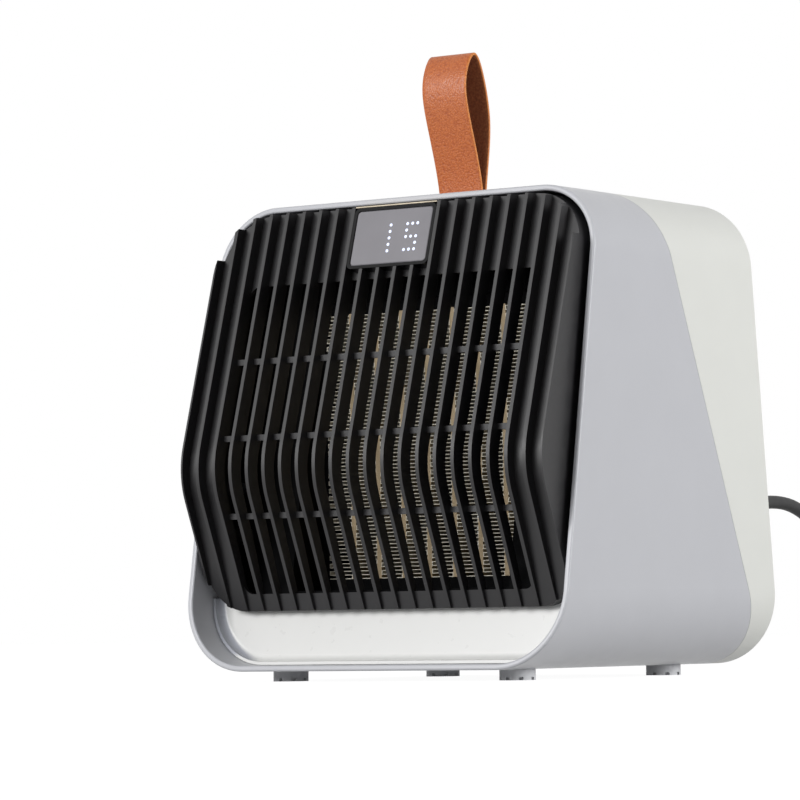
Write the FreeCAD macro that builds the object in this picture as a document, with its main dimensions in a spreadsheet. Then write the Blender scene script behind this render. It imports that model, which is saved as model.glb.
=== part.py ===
import FreeCAD, Part
import math
import os
import re
import Sketcher
from FreeCAD import Placement, Rotation, Vector

# Desktop PTC fan heater. X is to the right seen from the front, Y to the back, Z up, on the table at Z = 0.
# Sizes are in millimetres and degrees.
SIZES = {
    "shell_width": 233, "shell_height": 240, "overall_depth": 216.6, "foot_height": 5.4,
    "shell_wall": 3, "corner_top": 34, "corner_bottom": 38.6,
    "rim_setback": 5.5, "front_lean": 9.79, "rear_lean": 6.13, "seam_lean": 22.93, "seam_setback": 16.25,
    "seam_gap": 0.25, "lip_length": 4, "lip_wall": 1.4, "fit": 0.2, "rim_round": 1, "rear_round": 2.5,
    "post_radius": 5, "post_inset": 3.5, "post_length": 30, "screw_well": 3.6, "screw_seat": 4,
    "screw_shank": 1.3, "screw_head": 2.8, "screw_head_height": 1.8, "screw_length": 10, "screw_fit": 0.05,
    "cross_width": 0.8, "cross_length": 3.36,
    "grille_gap": 2.85, "grille_top_gap": 1.4, "grille_bottom": 36,
    "grille_corner_top": 30, "grille_corner_bottom": 20, "grille_wall": 2.2,
    "knee_height": 106.5, "upper_lean": 16.9, "lower_lean": 22.3, "knee_radius": 42,
    "rib_count": 20, "rib_thick": 2, "rib_depth": 9, "rib_foot": 4,
    "flute_depth": 6.6, "flute_foot": 1.5, "floor_thick": 2.5,
    "window_bottom": 44.8, "window_drop": 37.7, "window_corner": 5, "window_flutes": 17,
    "bar_height": 3, "bar_depth": 3.5, "bar_setback": 5,
    "boss_radius": 4.5, "boss_offset": 99, "boss_low": 75, "boss_drop": 55.4,
    "panel_setback": 22.5, "panel_thick": 2.5, "panel_flange": 5, "panel_rim": 1.5, "panel_fillet": 4,
    "panel_top": 43, "lug_offset": 104.5, "lug_low": 100, "lug_drop": 73.4, "lug_height": 14, "lug_depth": 12,
    "display_width": 50.2, "display_length": 33, "display_drop": 32.4, "display_round": 3,
    "lens_border": 1.6, "lens_thick": 1.8, "lens_recess": 0.2, "lens_bevel": 0.5, "guide_thick": 1.4,
    "dot_radius": 0.8, "dot_pitch_x": 3.1, "dot_pitch_z": 3.5,
    "duct_width": 134, "duct_bottom": 46, "duct_drop": 50.4, "duct_wall": 2.5, "duct_rear": 0, "duct_boss": 4,
    "ptc_front": -45, "ptc_depth": 18, "column_pitch": 15.75, "ptc_bar_width": 2.75,
    "fin_margin": 6, "fin_pitch": 1.94, "fin_thick": 0.35, "column_count": 8,
    "tab_width": 6.3, "tab_thick": 0.8, "tab_length": 16,
    "fan_margin": 9, "fan_clearance": 4, "ring_wall": 2.5, "ring_length": 28, "plate_thick": 2.5,
    "hub_radius": 18, "hub_length": 15, "hub_start": 5.5, "blade_count": 7, "blade_chord": 18,
    "blade_pitch": 40, "blade_thick": 1.8, "motor_radius": 19, "motor_length": 28, "motor_boss": 7.5,
    "bush_radius": 4,
    "shaft_radius": 2.5, "shaft_clearance": 0.05, "arm_width": 7, "arm_depth": 3,
    "intake_width": 150, "intake_bottom": 62, "intake_drop": 53.4, "intake_corner": 12, "intake_slots": 15,
    "slot_height": 4, "slot_pitch": 8, "intake_rib": 3, "intake_border": 7, "intake_flange": 3,
    "strap_width": 27, "strap_thick": 1.4, "strap_slot": 0.4, "strap_tuck": 20.4, "clamp_thick": 3,
    "clamp_half": 18, "clamp_drop": 4.4, "anchor_thick": 3.8, "clamp_screw": 8,
    "button_radius": 6, "button_gap": 0.3, "button_spacing": 22, "button_setback": 18.5, "button_proud": 1.2,
    "button_travel": 1, "button_flange": 1.5, "button_stem": 2.5, "switch_size": 6, "switch_height": 3.5,
    "knob_height": 1.3, "board_thick": 1.6, "button_board_drop": 10.8, "button_post": 34,
    "board_width": 130, "board_front": -52, "board_rear": 48, "board_lift": 6, "standoff_radius": 3.5,
    "board_margin": 6, "foot_radius": 9, "foot_spread": 69.7, "foot_front": -70.9, "foot_rear": 66.3,
    "foot_well": 3.6, "foot_seat": 2.4, "foot_notch": 2.2, "foot_notch_depth": 1.6, "foot_boss": 8,
    "rocker_x": 84, "rocker_z": 46, "rocker_width": 15, "rocker_height": 21, "rocker_depth": 20,
    "rocker_bezel": 2, "rocker_wall": 1.2, "rocker_gap": 0.35, "rocker_throw": 14, "rocker_pivot": 2,
    "gland_x": 92, "gland_z": 86.5, "gland_length": 30, "gland_root": 6.6, "gland_tip": 4.6,
    "gland_collar": 8.5, "gland_back": 4.6, "gland_ribs": 6, "cord_radius": 3.5, "lead_radius": 1.5,
}

# Places that follow from the sizes
PLACES = {
    "shell_top": "(foot_height + shell_height)",
    "ceiling": "(shell_top - shell_wall)",
    "head_top": "(ceiling - grille_top_gap)",
    "window_top": "(head_top - window_drop)",
    "boss_high": "(shell_top - boss_drop)",
    "lug_high": "(shell_top - lug_drop)",
    "display_bottom": "(head_top - display_drop)",
    "duct_top": "(shell_top - duct_drop)",
    "fin_bottom": "(duct_bottom + fin_margin)",
    "fin_top": "(duct_top - fin_margin)",
    "fan_radius": "(min(duct_width; duct_top - duct_bottom)/2 - fan_margin)",
    "intake_top": "(shell_top - intake_drop)",
    "button_row": "(overall_depth/2 - seam_setback - shell_height*tan(seam_lean) - button_setback)",
    "strap_tail": "(ceiling - strap_tuck)",
    "clamp_top": "(ceiling - clamp_drop)",
}

doc = FreeCAD.newDocument("fan_heater")
dims = doc.addObject("Spreadsheet::Sheet", "dims")
for row, (alias, size) in enumerate(SIZES.items(), start=1):
    dims.set(f"A{row}", alias)
    dims.set(f"B{row}", str(size))
    dims.setAlias(f"B{row}", alias)
doc.recompute()

nodes = []


def bound(text):
    """The expression with each place written out and each size pointing at its cell."""

    def spelled(match):
        word = match.group()
        if word in PLACES:
            return bound(PLACES[word])
        return "dims." + word if word in SIZES else word

    return re.sub(r"[a-z_]+", spelled, str(text))


def value(text):
    return float(dims.evalExpression(bound(text)))


def bind(thing, **properties):
    for name, text in properties.items():
        thing.setExpression(name.replace("__", "."), bound(text))


def place(thing, x=0, y=0, z=0, axis=(1, 0, 0), turn=0):
    """Puts a piece at a point, turned about an axis; every number may be an expression."""
    spot = Vector(value(x), value(y), value(z))
    thing.Placement = Placement(spot, Rotation(Vector(*axis), value(turn)))
    bind(thing, Placement__Base__x=x, Placement__Base__y=y, Placement__Base__z=z)
    if isinstance(turn, str):
        bind(thing, Placement__Rotation__Angle=turn)
    return thing


# Sketches
PLANE_OF = {"x": "YZ_Plane", "y": "XZ_Plane", "z": "XY_Plane"}


def pin(sketch, geometry, point, u, v):
    for kind, text in (("DistanceX", u), ("DistanceY", v)):
        index = sketch.addConstraint(Sketcher.Constraint(kind, -1, 1, geometry, point, value(text)))
        name = f"{kind}_{index}"
        sketch.renameConstraint(index, name)
        sketch.setExpression("Constraints." + name, bound(text))


def set_radius(sketch, geometry, text):
    index = sketch.addConstraint(Sketcher.Constraint("Radius", geometry, value(text)))
    sketch.renameConstraint(index, f"Radius_{index}")
    sketch.setExpression(f"Constraints.Radius_{index}", bound(text))


def add_outline(sketch, corners):
    """A closed outline through corners (u, v) or, rounded, (u, v, radius)."""
    points = [Vector(value(corner[0]), value(corner[1]), 0) for corner in corners]
    count = len(corners)
    entries, exits, arcs = [], [], []
    for i, corner in enumerate(corners):
        back = (points[i - 1] - points[i]).normalize()
        ahead = (points[(i + 1) % count] - points[i]).normalize()
        if len(corner) < 3:
            entries.append(points[i])
            exits.append(points[i])
            arcs.append(None)
            continue
        radius = value(corner[2])
        half = back.getAngle(ahead) / 2
        entries.append(points[i] + back * (radius / math.tan(half)))
        exits.append(points[i] + ahead * (radius / math.tan(half)))
        centre = points[i] + (back + ahead).normalize() * (radius / math.sin(half))
        left_turn = back.cross(ahead).z < 0
        arcs.append((centre, radius, left_turn))
    lines = [sketch.addGeometry(Part.LineSegment(exits[i], entries[(i + 1) % count])) for i in range(count)]
    for i, corner in enumerate(corners):
        if arcs[i] is None:
            sketch.addConstraint(Sketcher.Constraint("Coincident", lines[i - 1], 2, lines[i], 1))
            pin(sketch, lines[i], 1, corner[0], corner[1])
            continue
        centre, radius, left_turn = arcs[i]
        start, end = (entries[i], exits[i]) if left_turn else (exits[i], entries[i])
        first = math.atan2(start.y - centre.y, start.x - centre.x)
        last = math.atan2(end.y - centre.y, end.x - centre.x)
        if last < first:
            last += 2 * math.pi
        arc = sketch.addGeometry(Part.ArcOfCircle(Part.Circle(centre, Vector(0, 0, 1), radius), first, last))
        corner_point = sketch.addGeometry(Part.Point(points[i]), True)
        pin(sketch, corner_point, 1, corner[0], corner[1])
        sketch.addConstraint(Sketcher.Constraint("PointOnObject", corner_point, 1, lines[i - 1]))
        sketch.addConstraint(Sketcher.Constraint("PointOnObject", corner_point, 1, lines[i]))
        sketch.addConstraint(Sketcher.Constraint("Tangent", lines[i - 1], 2, arc, 1 if left_turn else 2))
        sketch.addConstraint(Sketcher.Constraint("Tangent", arc, 2 if left_turn else 1, lines[i], 1))
        set_radius(sketch, arc, corner[2])


def add_circle(sketch, u, v, radius):
    circle = sketch.addGeometry(Part.Circle(Vector(value(u), value(v), 0), Vector(0, 0, 1), value(radius)))
    pin(sketch, circle, 3, u, v)
    set_radius(sketch, circle, radius)


def new_sketch(body, axis, start, outlines, circles):
    """A sketch square to an axis at a distance along it: (y, z), (x, z) or (x, y) coordinates."""
    sketch = body.newObject("Sketcher::SketchObject", body.Name + "_sketch")
    plane = next(p for p in body.Origin.OriginFeatures if p.Role == PLANE_OF[axis])
    sketch.AttachmentSupport = [(plane, "")]
    sketch.MapMode = "FlatFace"
    bind(sketch, AttachmentOffset__Base__z=f"-({start})" if axis == "y" else start)
    for corners in outlines:
        add_outline(sketch, corners)
    for circle in circles:
        add_circle(sketch, *circle)
    return sketch


def prism(name, axis, start, length, outlines=(), circles=()):
    """A body padded from outlines along an axis."""
    body = doc.addObject("PartDesign::Body", name)
    add_pad(body, axis, start, length, outlines, circles)
    return body


def add_pad(body, axis, start, length, outlines=(), circles=()):
    sketch = new_sketch(body, axis, start, outlines, circles)
    pad = body.newObject("PartDesign::Pad", body.Name + "_pad")
    pad.Profile = sketch
    pad.Reversed = axis == "y"
    bind(pad, Length=length)
    return pad


def add_pocket(body, axis, start, length, outlines=(), circles=()):
    doc.recompute()
    before = body.Shape.Volume
    sketch = new_sketch(body, axis, start, outlines, circles)
    pocket = body.newObject("PartDesign::Pocket", body.Name + "_pocket")
    pocket.Profile = sketch
    pocket.Reversed = axis != "y"
    bind(pocket, Length=length)
    doc.recompute()
    assert body.Shape.Volume < before, body.Name + ": the pocket cuts nothing"
    return pocket


def add_pattern(body, feature, axis, length, count):
    """Repeats a feature along X, Y or Z, spread over a length."""
    pattern = body.newObject("PartDesign::LinearPattern", body.Name + "_pattern")
    pattern.Originals = [feature]
    line = next(p for p in body.Origin.OriginFeatures if p.Role == axis.upper() + "_Axis")
    pattern.Direction = (line, [""])
    bind(pattern, Length=length, Occurrences=count)
    body.Tip = pattern
    return pattern


def add_ring_pattern(body, feature, axis, count):
    pattern = body.newObject("PartDesign::PolarPattern", body.Name + "_pattern")
    pattern.Originals = [feature]
    line = next(p for p in body.Origin.OriginFeatures if p.Role == axis.upper() + "_Axis")
    pattern.Axis = (line, [""])
    pattern.Angle = 360
    bind(pattern, Occurrences=count)
    body.Tip = pattern
    return pattern


def revolve(name, corners):
    """A body turned about its own Y axis from a half profile of (radius, y) corners."""
    body = doc.addObject("PartDesign::Body", name)
    sketch = new_sketch(body, "z", 0, [corners], [])
    turned = body.newObject("PartDesign::Revolution", name + "_revolution")
    turned.Profile = sketch
    turned.ReferenceAxis = (next(p for p in body.Origin.OriginFeatures if p.Role == "Y_Axis"), [""])
    turned.Angle = 360
    return body


# Solids and booleans
def box(name, x, y, z, length, width, height):
    solid = doc.addObject("Part::Box", name)
    bind(solid, Length=length, Width=width, Height=height)
    return place(solid, x, y, z)


def cylinder(name, radius, height, x, y, z, axis=(1, 0, 0), turn=0):
    solid = doc.addObject("Part::Cylinder", name)
    bind(solid, Radius=radius, Height=height)
    return place(solid, x, y, z, axis, turn)


def fuse(name, *pieces):
    result = doc.addObject("Part::MultiFuse", name)
    result.Shapes = list(pieces)
    result.Refine = True
    return result


def group(name, *pieces):
    result = doc.addObject("Part::Compound", name)
    result.Links = list(pieces)
    return result


def cut(name, base, *tools):
    result = doc.addObject("Part::Cut", name)
    result.Base = base
    result.Tool = tools[0] if len(tools) == 1 else group(name + "_tools", *tools)
    return result


def common(name, base, tool):
    result = doc.addObject("Part::Common", name)
    result.Base = base
    result.Tool = tool
    return result


def node(piece, label):
    piece.Label = label
    nodes.append(piece)
    return piece


def screws(label, spots, turn, length="screw_length"):
    """Cross-head screws whose heads sit on the given (x, y, z) spots; unturned, the head points up."""
    made = []
    for i, (x, y, z) in enumerate(spots):
        name = f"{label}_{i}"
        shank = cylinder(name + "_shank", "screw_shank", length, 0, 0, f"-({length})")
        head = cylinder(name + "_head", "screw_head", "screw_head_height", 0, 0, 0)
        slots = [box(f"{name}_slot_a", "-cross_length/2", "-cross_width/2", "screw_head_height/2",
                     "cross_length", "cross_width", "screw_head_height"),
                 box(f"{name}_slot_b", "-cross_width/2", "-cross_length/2", "screw_head_height/2",
                     "cross_width", "cross_length", "screw_head_height")]
        screw = cut(name, fuse(name + "_blank", shank, head), fuse(name + "_cross", *slots))
        made.append(place(screw, x, y, z, turn=turn))
    return node(group(label, *made), label)


def drills(name, spots, radius, below, above, turn):
    """Holes through the given spots, reaching below and above each along its screw's axis."""
    made = [cylinder(f"{name}_{i}", radius, f"({below}) + ({above})", x, f"({y}) + ({below})*sin({turn})",
                     f"({z}) - ({below})*cos({turn})", turn=turn) for i, (x, y, z) in enumerate(spots)]
    return group(name, *made)


# Planes of the shell, as the Y where each crosses a height
FRONT_Y = "(rim_setback - overall_depth/2)"
REAR_Y = "(overall_depth/2)"
SEAM_Y = "(overall_depth/2 - seam_setback)"
LOW = "(foot_height - 20)"
HIGH = "(shell_top + 20)"
SIDE = "(shell_width/2)"
REACH = "(overall_depth + 100)"


def at_front(z):
    return f"({FRONT_Y} + (({z}) - foot_height)*tan(front_lean))"


def at_rear(z):
    return f"({REAR_Y} - (({z}) - foot_height)*tan(rear_lean))"


def at_seam(z):
    return f"({SEAM_Y} - (({z}) - foot_height)*tan(seam_lean))"


def at_panel(z):
    return f"({at_front(z)} + panel_setback)"


def shell_outline(inset):
    """The sleeve's rounded outline in (x, z), shrunk by an inset."""
    return [(f"-{SIDE} + {inset}", f"foot_height + {inset}", f"corner_bottom - ({inset})"),
            (f"{SIDE} - ({inset})", f"foot_height + {inset}", f"corner_bottom - ({inset})"),
            (f"{SIDE} - ({inset})", f"shell_top - ({inset})", f"corner_top - ({inset})"),
            (f"-{SIDE} + {inset}", f"shell_top - ({inset})", f"corner_top - ({inset})")]


def slab(name, front, rear, low=LOW, high=HIGH):
    """Everything between two planes given as functions of height, across the whole width."""
    corners = [(front(low), low), (rear(low), low), (rear(high), high), (front(high), high)]
    return prism(name, "x", f"-{REACH}/2", REACH, [corners])


def sleeve(name, inset):
    return prism(name, "y", f"-{REACH}/2", REACH, [shell_outline(inset)])


def shifted(plane, amount):
    return lambda z: f"({plane(z)} + ({amount}))"


def rounded(left, right, low, high, radius):
    return [(left, low, radius), (right, low, radius), (right, high, radius), (left, high, radius)]


def rectangle(left, right, low, high):
    return [(left, low), (right, low), (right, high), (left, high)]


# Corner posts that take the shell screws
REACH_TOP = "(corner_top - shell_wall - post_inset)*cos(45)"
REACH_BOTTOM = "(corner_bottom - shell_wall - post_inset)*cos(45)"
TOP_POST = (f"({SIDE} - corner_top + {REACH_TOP})", f"(shell_top - corner_top + {REACH_TOP})")
BOTTOM_POST = (f"({SIDE} - corner_bottom + {REACH_BOTTOM})", f"(foot_height + corner_bottom - {REACH_BOTTOM})")
POSTS = [(side + x, z) for x, z in (TOP_POST, BOTTOM_POST) for side in ("", "-")]
TOWARDS_REAR = -90
TOWARDS_FRONT = 90
DOWN = 180
FROM_PANEL_FRONT = "90 - front_lean"
FROM_PANEL_REAR = "-90 - front_lean"
shell_spots = [(x, f"{at_seam(z)} + screw_seat", z) for x, z in POSTS]


def posts(name, radius):
    return [cylinder(f"{name}_{i}", radius, REACH, x, f"-{REACH}/2", z, turn=TOWARDS_REAR)
            for i, (x, z) in enumerate(POSTS)]


# Feet positions, board standoffs and buttons on the front shell
FEET = {"front_left": ("-foot_spread", "foot_front"), "front_right": ("foot_spread", "foot_front"),
        "rear_left": ("-foot_spread", "foot_rear"), "rear_right": ("foot_spread", "foot_rear")}
FLOOR = "(foot_height + shell_wall)"
BOARD_Z = f"({FLOOR} + board_lift)"
standoffs = [(f"{sx}(board_width/2 - board_margin)", y) for sx in ("-", "")
             for y in ("board_front + board_margin", "board_rear - board_margin")]
BUTTONS = {"minus_button": "-button_spacing", "power_button": "0", "plus_button": "button_spacing"}
BUTTON_BOARD_Z = "(ceiling - button_board_drop - board_thick)"
STRAP_BACK = f"({at_seam('shell_top')} + strap_thick - 0.28)"
STRAP_FRONT = f"({STRAP_BACK} - 2*strap_thick)"
foot_spots = [(x, y, "foot_seat") for x, y in FEET.values()]
board_spots = [(x, y, f"{BOARD_Z} + board_thick") for x, y in standoffs]
button_post_spots = [(f"{s}button_post", "button_row", BUTTON_BOARD_Z) for s in ("-", "")]
CLAMP_Z = "((strap_tail + clamp_top)/2)"
strap_spots = [(f"{s}clamp_screw", f"{STRAP_BACK} + clamp_thick", CLAMP_Z) for s in ("-", "")]
lug_spots = [(f"{s}lug_offset", at_panel(z), z) for s in ("-", "") for z in ("lug_low", "lug_high")]


def rounded_rim(name, piece, plane, radius):
    """Rounds every edge of a piece that lies in a plane given as a function of height."""
    doc.recompute()
    result = doc.addObject("Part::Fillet", name)
    result.Base = piece
    rim = []
    for i, edge in enumerate(piece.Shape.Edges, start=1):
        spots = [edge.valueAt(edge.FirstParameter + part * (edge.LastParameter - edge.FirstParameter))
                 for part in (0.2, 0.5, 0.8)]
        if all(abs(spot.y - value(plane(repr(spot.z)))) < 0.01 for spot in spots):
            rim.append((i, value(radius), value(radius)))
    result.Edges = rim
    return result


def front_shell():
    hollow = cut("front_hollow", sleeve("front_outer", 0), sleeve("front_inner", "shell_wall"))
    tube_zone = slab("front_zone", at_front, shifted(at_seam, "-seam_gap"))
    wall = rounded_rim("front_wall", common("front_tube", hollow, tube_zone), at_front, "rim_round")
    extra = []
    post_zone = slab("front_post_zone", shifted(at_seam, "-seam_gap - post_length"),
                     shifted(at_seam, "-seam_gap"))
    extra.append(common("front_posts", fuse("front_post_bars", *posts("front_post", "post_radius")), post_zone))
    for i, (x, y, z) in enumerate(lug_spots):
        side = "lug_offset - 4" if i > 1 else f"-{SIDE} + shell_wall/2"
        bar = box(f"lug_bar_{i}", side, "-overall_depth", f"{z} - lug_height/2",
                  f"{SIDE} - shell_wall/2 - lug_offset + 4", "2*overall_depth", "lug_height")
        zone = slab(f"lug_zone_{i}", shifted(at_panel, "panel_thick"),
                    shifted(at_panel, "panel_thick + lug_depth"))
        extra.append(common(f"lug_{i}", bar, zone))
    for i, (x, y) in enumerate(standoffs):
        extra.append(cylinder(f"standoff_{i}", "standoff_radius", "board_lift + shell_wall/2", x, y,
                              f"{FLOOR} - shell_wall/2"))
    for name, (x, y) in FEET.items():
        extra.append(cylinder(f"boss_{name}", "standoff_radius", "foot_boss + shell_wall/2", x, y,
                              f"{FLOOR} - shell_wall/2"))
    for i, (x, y, z) in enumerate(button_post_spots):
        extra.append(cylinder(f"button_post_{i}", "standoff_radius", "button_board_drop + shell_wall/2", x, y,
                              f"{z} + board_thick"))
    anchor = box("strap_anchor", "-clamp_half", f"{STRAP_FRONT} - anchor_thick", "strap_tail", "2*clamp_half",
                 "anchor_thick", "ceiling + shell_wall/2 - strap_tail")
    raw = fuse("front_raw", wall, anchor, *extra)
    trims = [strap_slot("front_strap_slot")]
    for name, x in BUTTONS.items():
        trims.append(cylinder(f"hole_{name}", "button_radius + button_gap", "2*shell_wall", x, "button_row",
                              "ceiling - shell_wall/2"))
    pilot = "screw_shank + screw_fit"
    trims.append(drills("front_pilots", shell_spots, pilot, "screw_length + 2", 5, TOWARDS_REAR))
    trims.append(drills("lug_pilots", lug_spots, pilot, "screw_length + 2", 5, FROM_PANEL_FRONT))
    trims.append(drills("standoff_pilots", board_spots, pilot, "board_lift + board_thick + 1", 5, 0))
    trims.append(drills("foot_pilots", foot_spots, pilot, "screw_length + 1", 5, DOWN))
    trims.append(drills("button_pilots", button_post_spots, pilot, "screw_length - 1", 5, DOWN))
    trims.append(drills("anchor_pilots", strap_spots, pilot, "screw_length + 2", 5, TOWARDS_REAR))
    trimmed = cut("front_trimmed", raw, *trims)
    node(trimmed, "front_shell")


def strap_slot(name):
    return box(name, "-strap_width/2 - strap_slot", f"{STRAP_FRONT} - strap_slot", "ceiling - 1",
               "strap_width + 2*strap_slot", "2*strap_thick + 2*strap_slot", "shell_wall + 5")


def rear_shell():
    inner = shifted(at_rear, "-shell_wall/cos(rear_lean)")
    block = rounded_rim("rear_block", common("rear_sharp", sleeve("rear_outer", 0),
                                             slab("rear_zone", at_seam, at_rear)), at_rear, "rear_round")
    hollow = common("rear_hollow", sleeve("rear_inner", "shell_wall"),
                    slab("rear_hollow_zone", shifted(at_seam, -1), inner))
    lip_ring = cut("lip_ring", sleeve("lip_outer", "shell_wall + fit"),
                   sleeve("lip_inner", "shell_wall + fit + lip_wall"))
    lip_root = cut("lip_root", sleeve("lip_root_outer", "shell_wall - 1"),
                   sleeve("lip_root_inner", "shell_wall + fit + lip_wall"))
    lip = common("lip", lip_ring, slab("lip_zone", shifted(at_seam, "-lip_length"), shifted(at_seam, 1)))
    root = common("lip_foot", lip_root, slab("lip_foot_zone", at_seam, shifted(at_seam, "lip_length")))
    tubes = common("rear_posts", fuse("rear_post_bars", *posts("rear_post", "post_radius")),
                   slab("rear_post_zone", at_seam, inner))
    raw = fuse("rear_raw", cut("rear_cup", block, hollow), lip, root, tubes)
    pocket = prism("intake_hole", "y", 0, REACH, [rounded("-intake_width/2", "intake_width/2", "intake_bottom",
                                                          "intake_top", "intake_corner")])
    key = f"{STRAP_FRONT} - anchor_thick - fit"
    notch = box("lip_notch", "-clamp_half - 1", key, "strap_tail - 4", "2*clamp_half + 2",
                f"{STRAP_BACK} + clamp_thick + 6 - ({key})", "ceiling - strap_tail + 4")
    post_gaps = [cylinder(f"lip_gap_{i}", "post_radius + fit", REACH, x, f"-{REACH}/2", z, turn=TOWARDS_REAR)
                 for i, (x, z) in enumerate(POSTS)]
    lip_gap = common("lip_gaps", fuse("lip_gap_bars", *post_gaps),
                     slab("lip_gap_zone", shifted(at_seam, "-2*lip_length"), at_seam))
    wells = drills("screw_wells", shell_spots, "screw_well", 0, REACH, TOWARDS_REAR)
    shanks = drills("screw_ways", shell_spots, "screw_shank + screw_fit", "2*screw_seat", 1, TOWARDS_REAR)
    switch = place(prism("rocker_hole", "y", -30, 60,
                         [rectangle("-rocker_width/2 + rocker_wall - fit", "rocker_width/2 - rocker_wall + fit",
                                    "-rocker_height/2 + rocker_wall - fit",
                                    "rocker_height/2 - rocker_wall + fit")]),
                   "rocker_x", at_rear("rocker_z"), "rocker_z", turn="rear_lean")
    gland = place(prism("gland_hole", "y", -30, 60, circles=[(0, 0, "gland_root + fit")]),
                  "gland_x", at_rear("gland_z"), "gland_z", turn="rear_lean")
    node(cut("rear_trimmed", raw, pocket, strap_slot("rear_strap_slot"), notch, lip_gap, wells, shanks, switch,
             gland), "rear_shell")


def rear_grille():
    plate = prism("intake_plate", "y", 0, REACH, [rounded("-intake_width/2 + fit", "intake_width/2 - fit",
                                                          "intake_bottom + fit", "intake_top - fit",
                                                          "intake_corner - fit")])
    flange = prism("intake_lip", "y", 0, REACH,
                   [rounded("-intake_width/2 - intake_flange", "intake_width/2 + intake_flange",
                            "intake_bottom - intake_flange", "intake_top + intake_flange",
                            "intake_corner + intake_flange")])
    wall = "shell_wall/cos(rear_lean)"
    body = fuse("intake_body",
                common("intake_face", plate, slab("intake_zone", shifted(at_rear, f"-{wall} - 1.5"), at_rear)),
                common("intake_back", flange, slab("intake_lip_zone", shifted(at_rear, f"-{wall} - 1.5"),
                                                   shifted(at_rear, f"-{wall}"))))
    low = "((intake_bottom + intake_top)/2 - slot_pitch*(intake_slots - 1)/2 - slot_height/2)"
    third = "((intake_width - 2*intake_border - 2*intake_rib)/3)"
    slots = doc.addObject("PartDesign::Body", "intake_slots_body")
    outlines = []
    for i in range(3):
        left = f"(-intake_width/2 + intake_border + {i}*({third} + intake_rib))"
        outlines.append(rounded(left, f"{left} + {third}", low, f"{low} + slot_height", "slot_height/2 - 0.1"))
    first = add_pad(slots, "y", 0, REACH, outlines)
    add_pattern(slots, first, "z", "slot_pitch*(intake_slots - 1)", "intake_slots")
    node(cut("intake_cut", body, slots), "rear_grille")


# Grille cover
KNEE_Y = ("(-overall_depth/2 - knee_radius*(cos((upper_lean - lower_lean)/2)"
          "/cos((upper_lean + lower_lean)/2) - 1))")
HEAD_SIDE = f"({SIDE} - shell_wall - grille_gap)"
RIB_PITCH = f"(2*{HEAD_SIDE}/(rib_count + 1))"
OVER = "(head_top + 12)"
UNDER = "(grille_bottom - 8)"


def crest(z):
    """The front of the ribs above the knee."""
    return f"({KNEE_Y} + (({z}) - knee_height)*tan(upper_lean))"


def crest_below(z):
    return f"({KNEE_Y} + (knee_height - ({z}))*tan(lower_lean))"


def profile(depth, foot, radius):
    """The bent front in (y, z), set back by a depth above the knee and by a foot at the bottom edge."""
    slope = f"(({foot}) - ({depth}))/(knee_height - grille_bottom)"
    return [(f"{crest(OVER)} + {depth}", OVER), (f"{KNEE_Y} + {depth}", "knee_height", radius),
            (f"{crest_below(UNDER)} + {depth} + {slope}*(knee_height - {UNDER})", UNDER)]


def head_zone(name, depth, foot, radius):
    """Everything from that front back to the panel plane."""
    corners = profile(depth, foot, radius) + [(at_panel(UNDER), UNDER), (at_panel(OVER), OVER)]
    return prism(name, "x", f"-{REACH}/2", REACH, [corners])


def head_outline(inset):
    return [(f"-{HEAD_SIDE} + {inset}", f"grille_bottom + {inset}", f"grille_corner_bottom - ({inset})"),
            (f"{HEAD_SIDE} - ({inset})", f"grille_bottom + {inset}", f"grille_corner_bottom - ({inset})"),
            (f"{HEAD_SIDE} - ({inset})", f"head_top - ({inset})", f"grille_corner_top - ({inset})"),
            (f"-{HEAD_SIDE} + {inset}", f"head_top - ({inset})", f"grille_corner_top - ({inset})")]


# The display is built flat and leaned onto the upper facet: x across, y inwards, z up the facet
DEPTH = "(flute_depth*cos(upper_lean))"


def lean_on_facet(piece):
    return place(piece, 0, crest("display_bottom"), "display_bottom", turn="-upper_lean")


boss_spots = [(f"{s}boss_offset", f"{at_panel(z)} + panel_thick", z) for s in ("-", "")
              for z in ("boss_low", "boss_high")]


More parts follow.
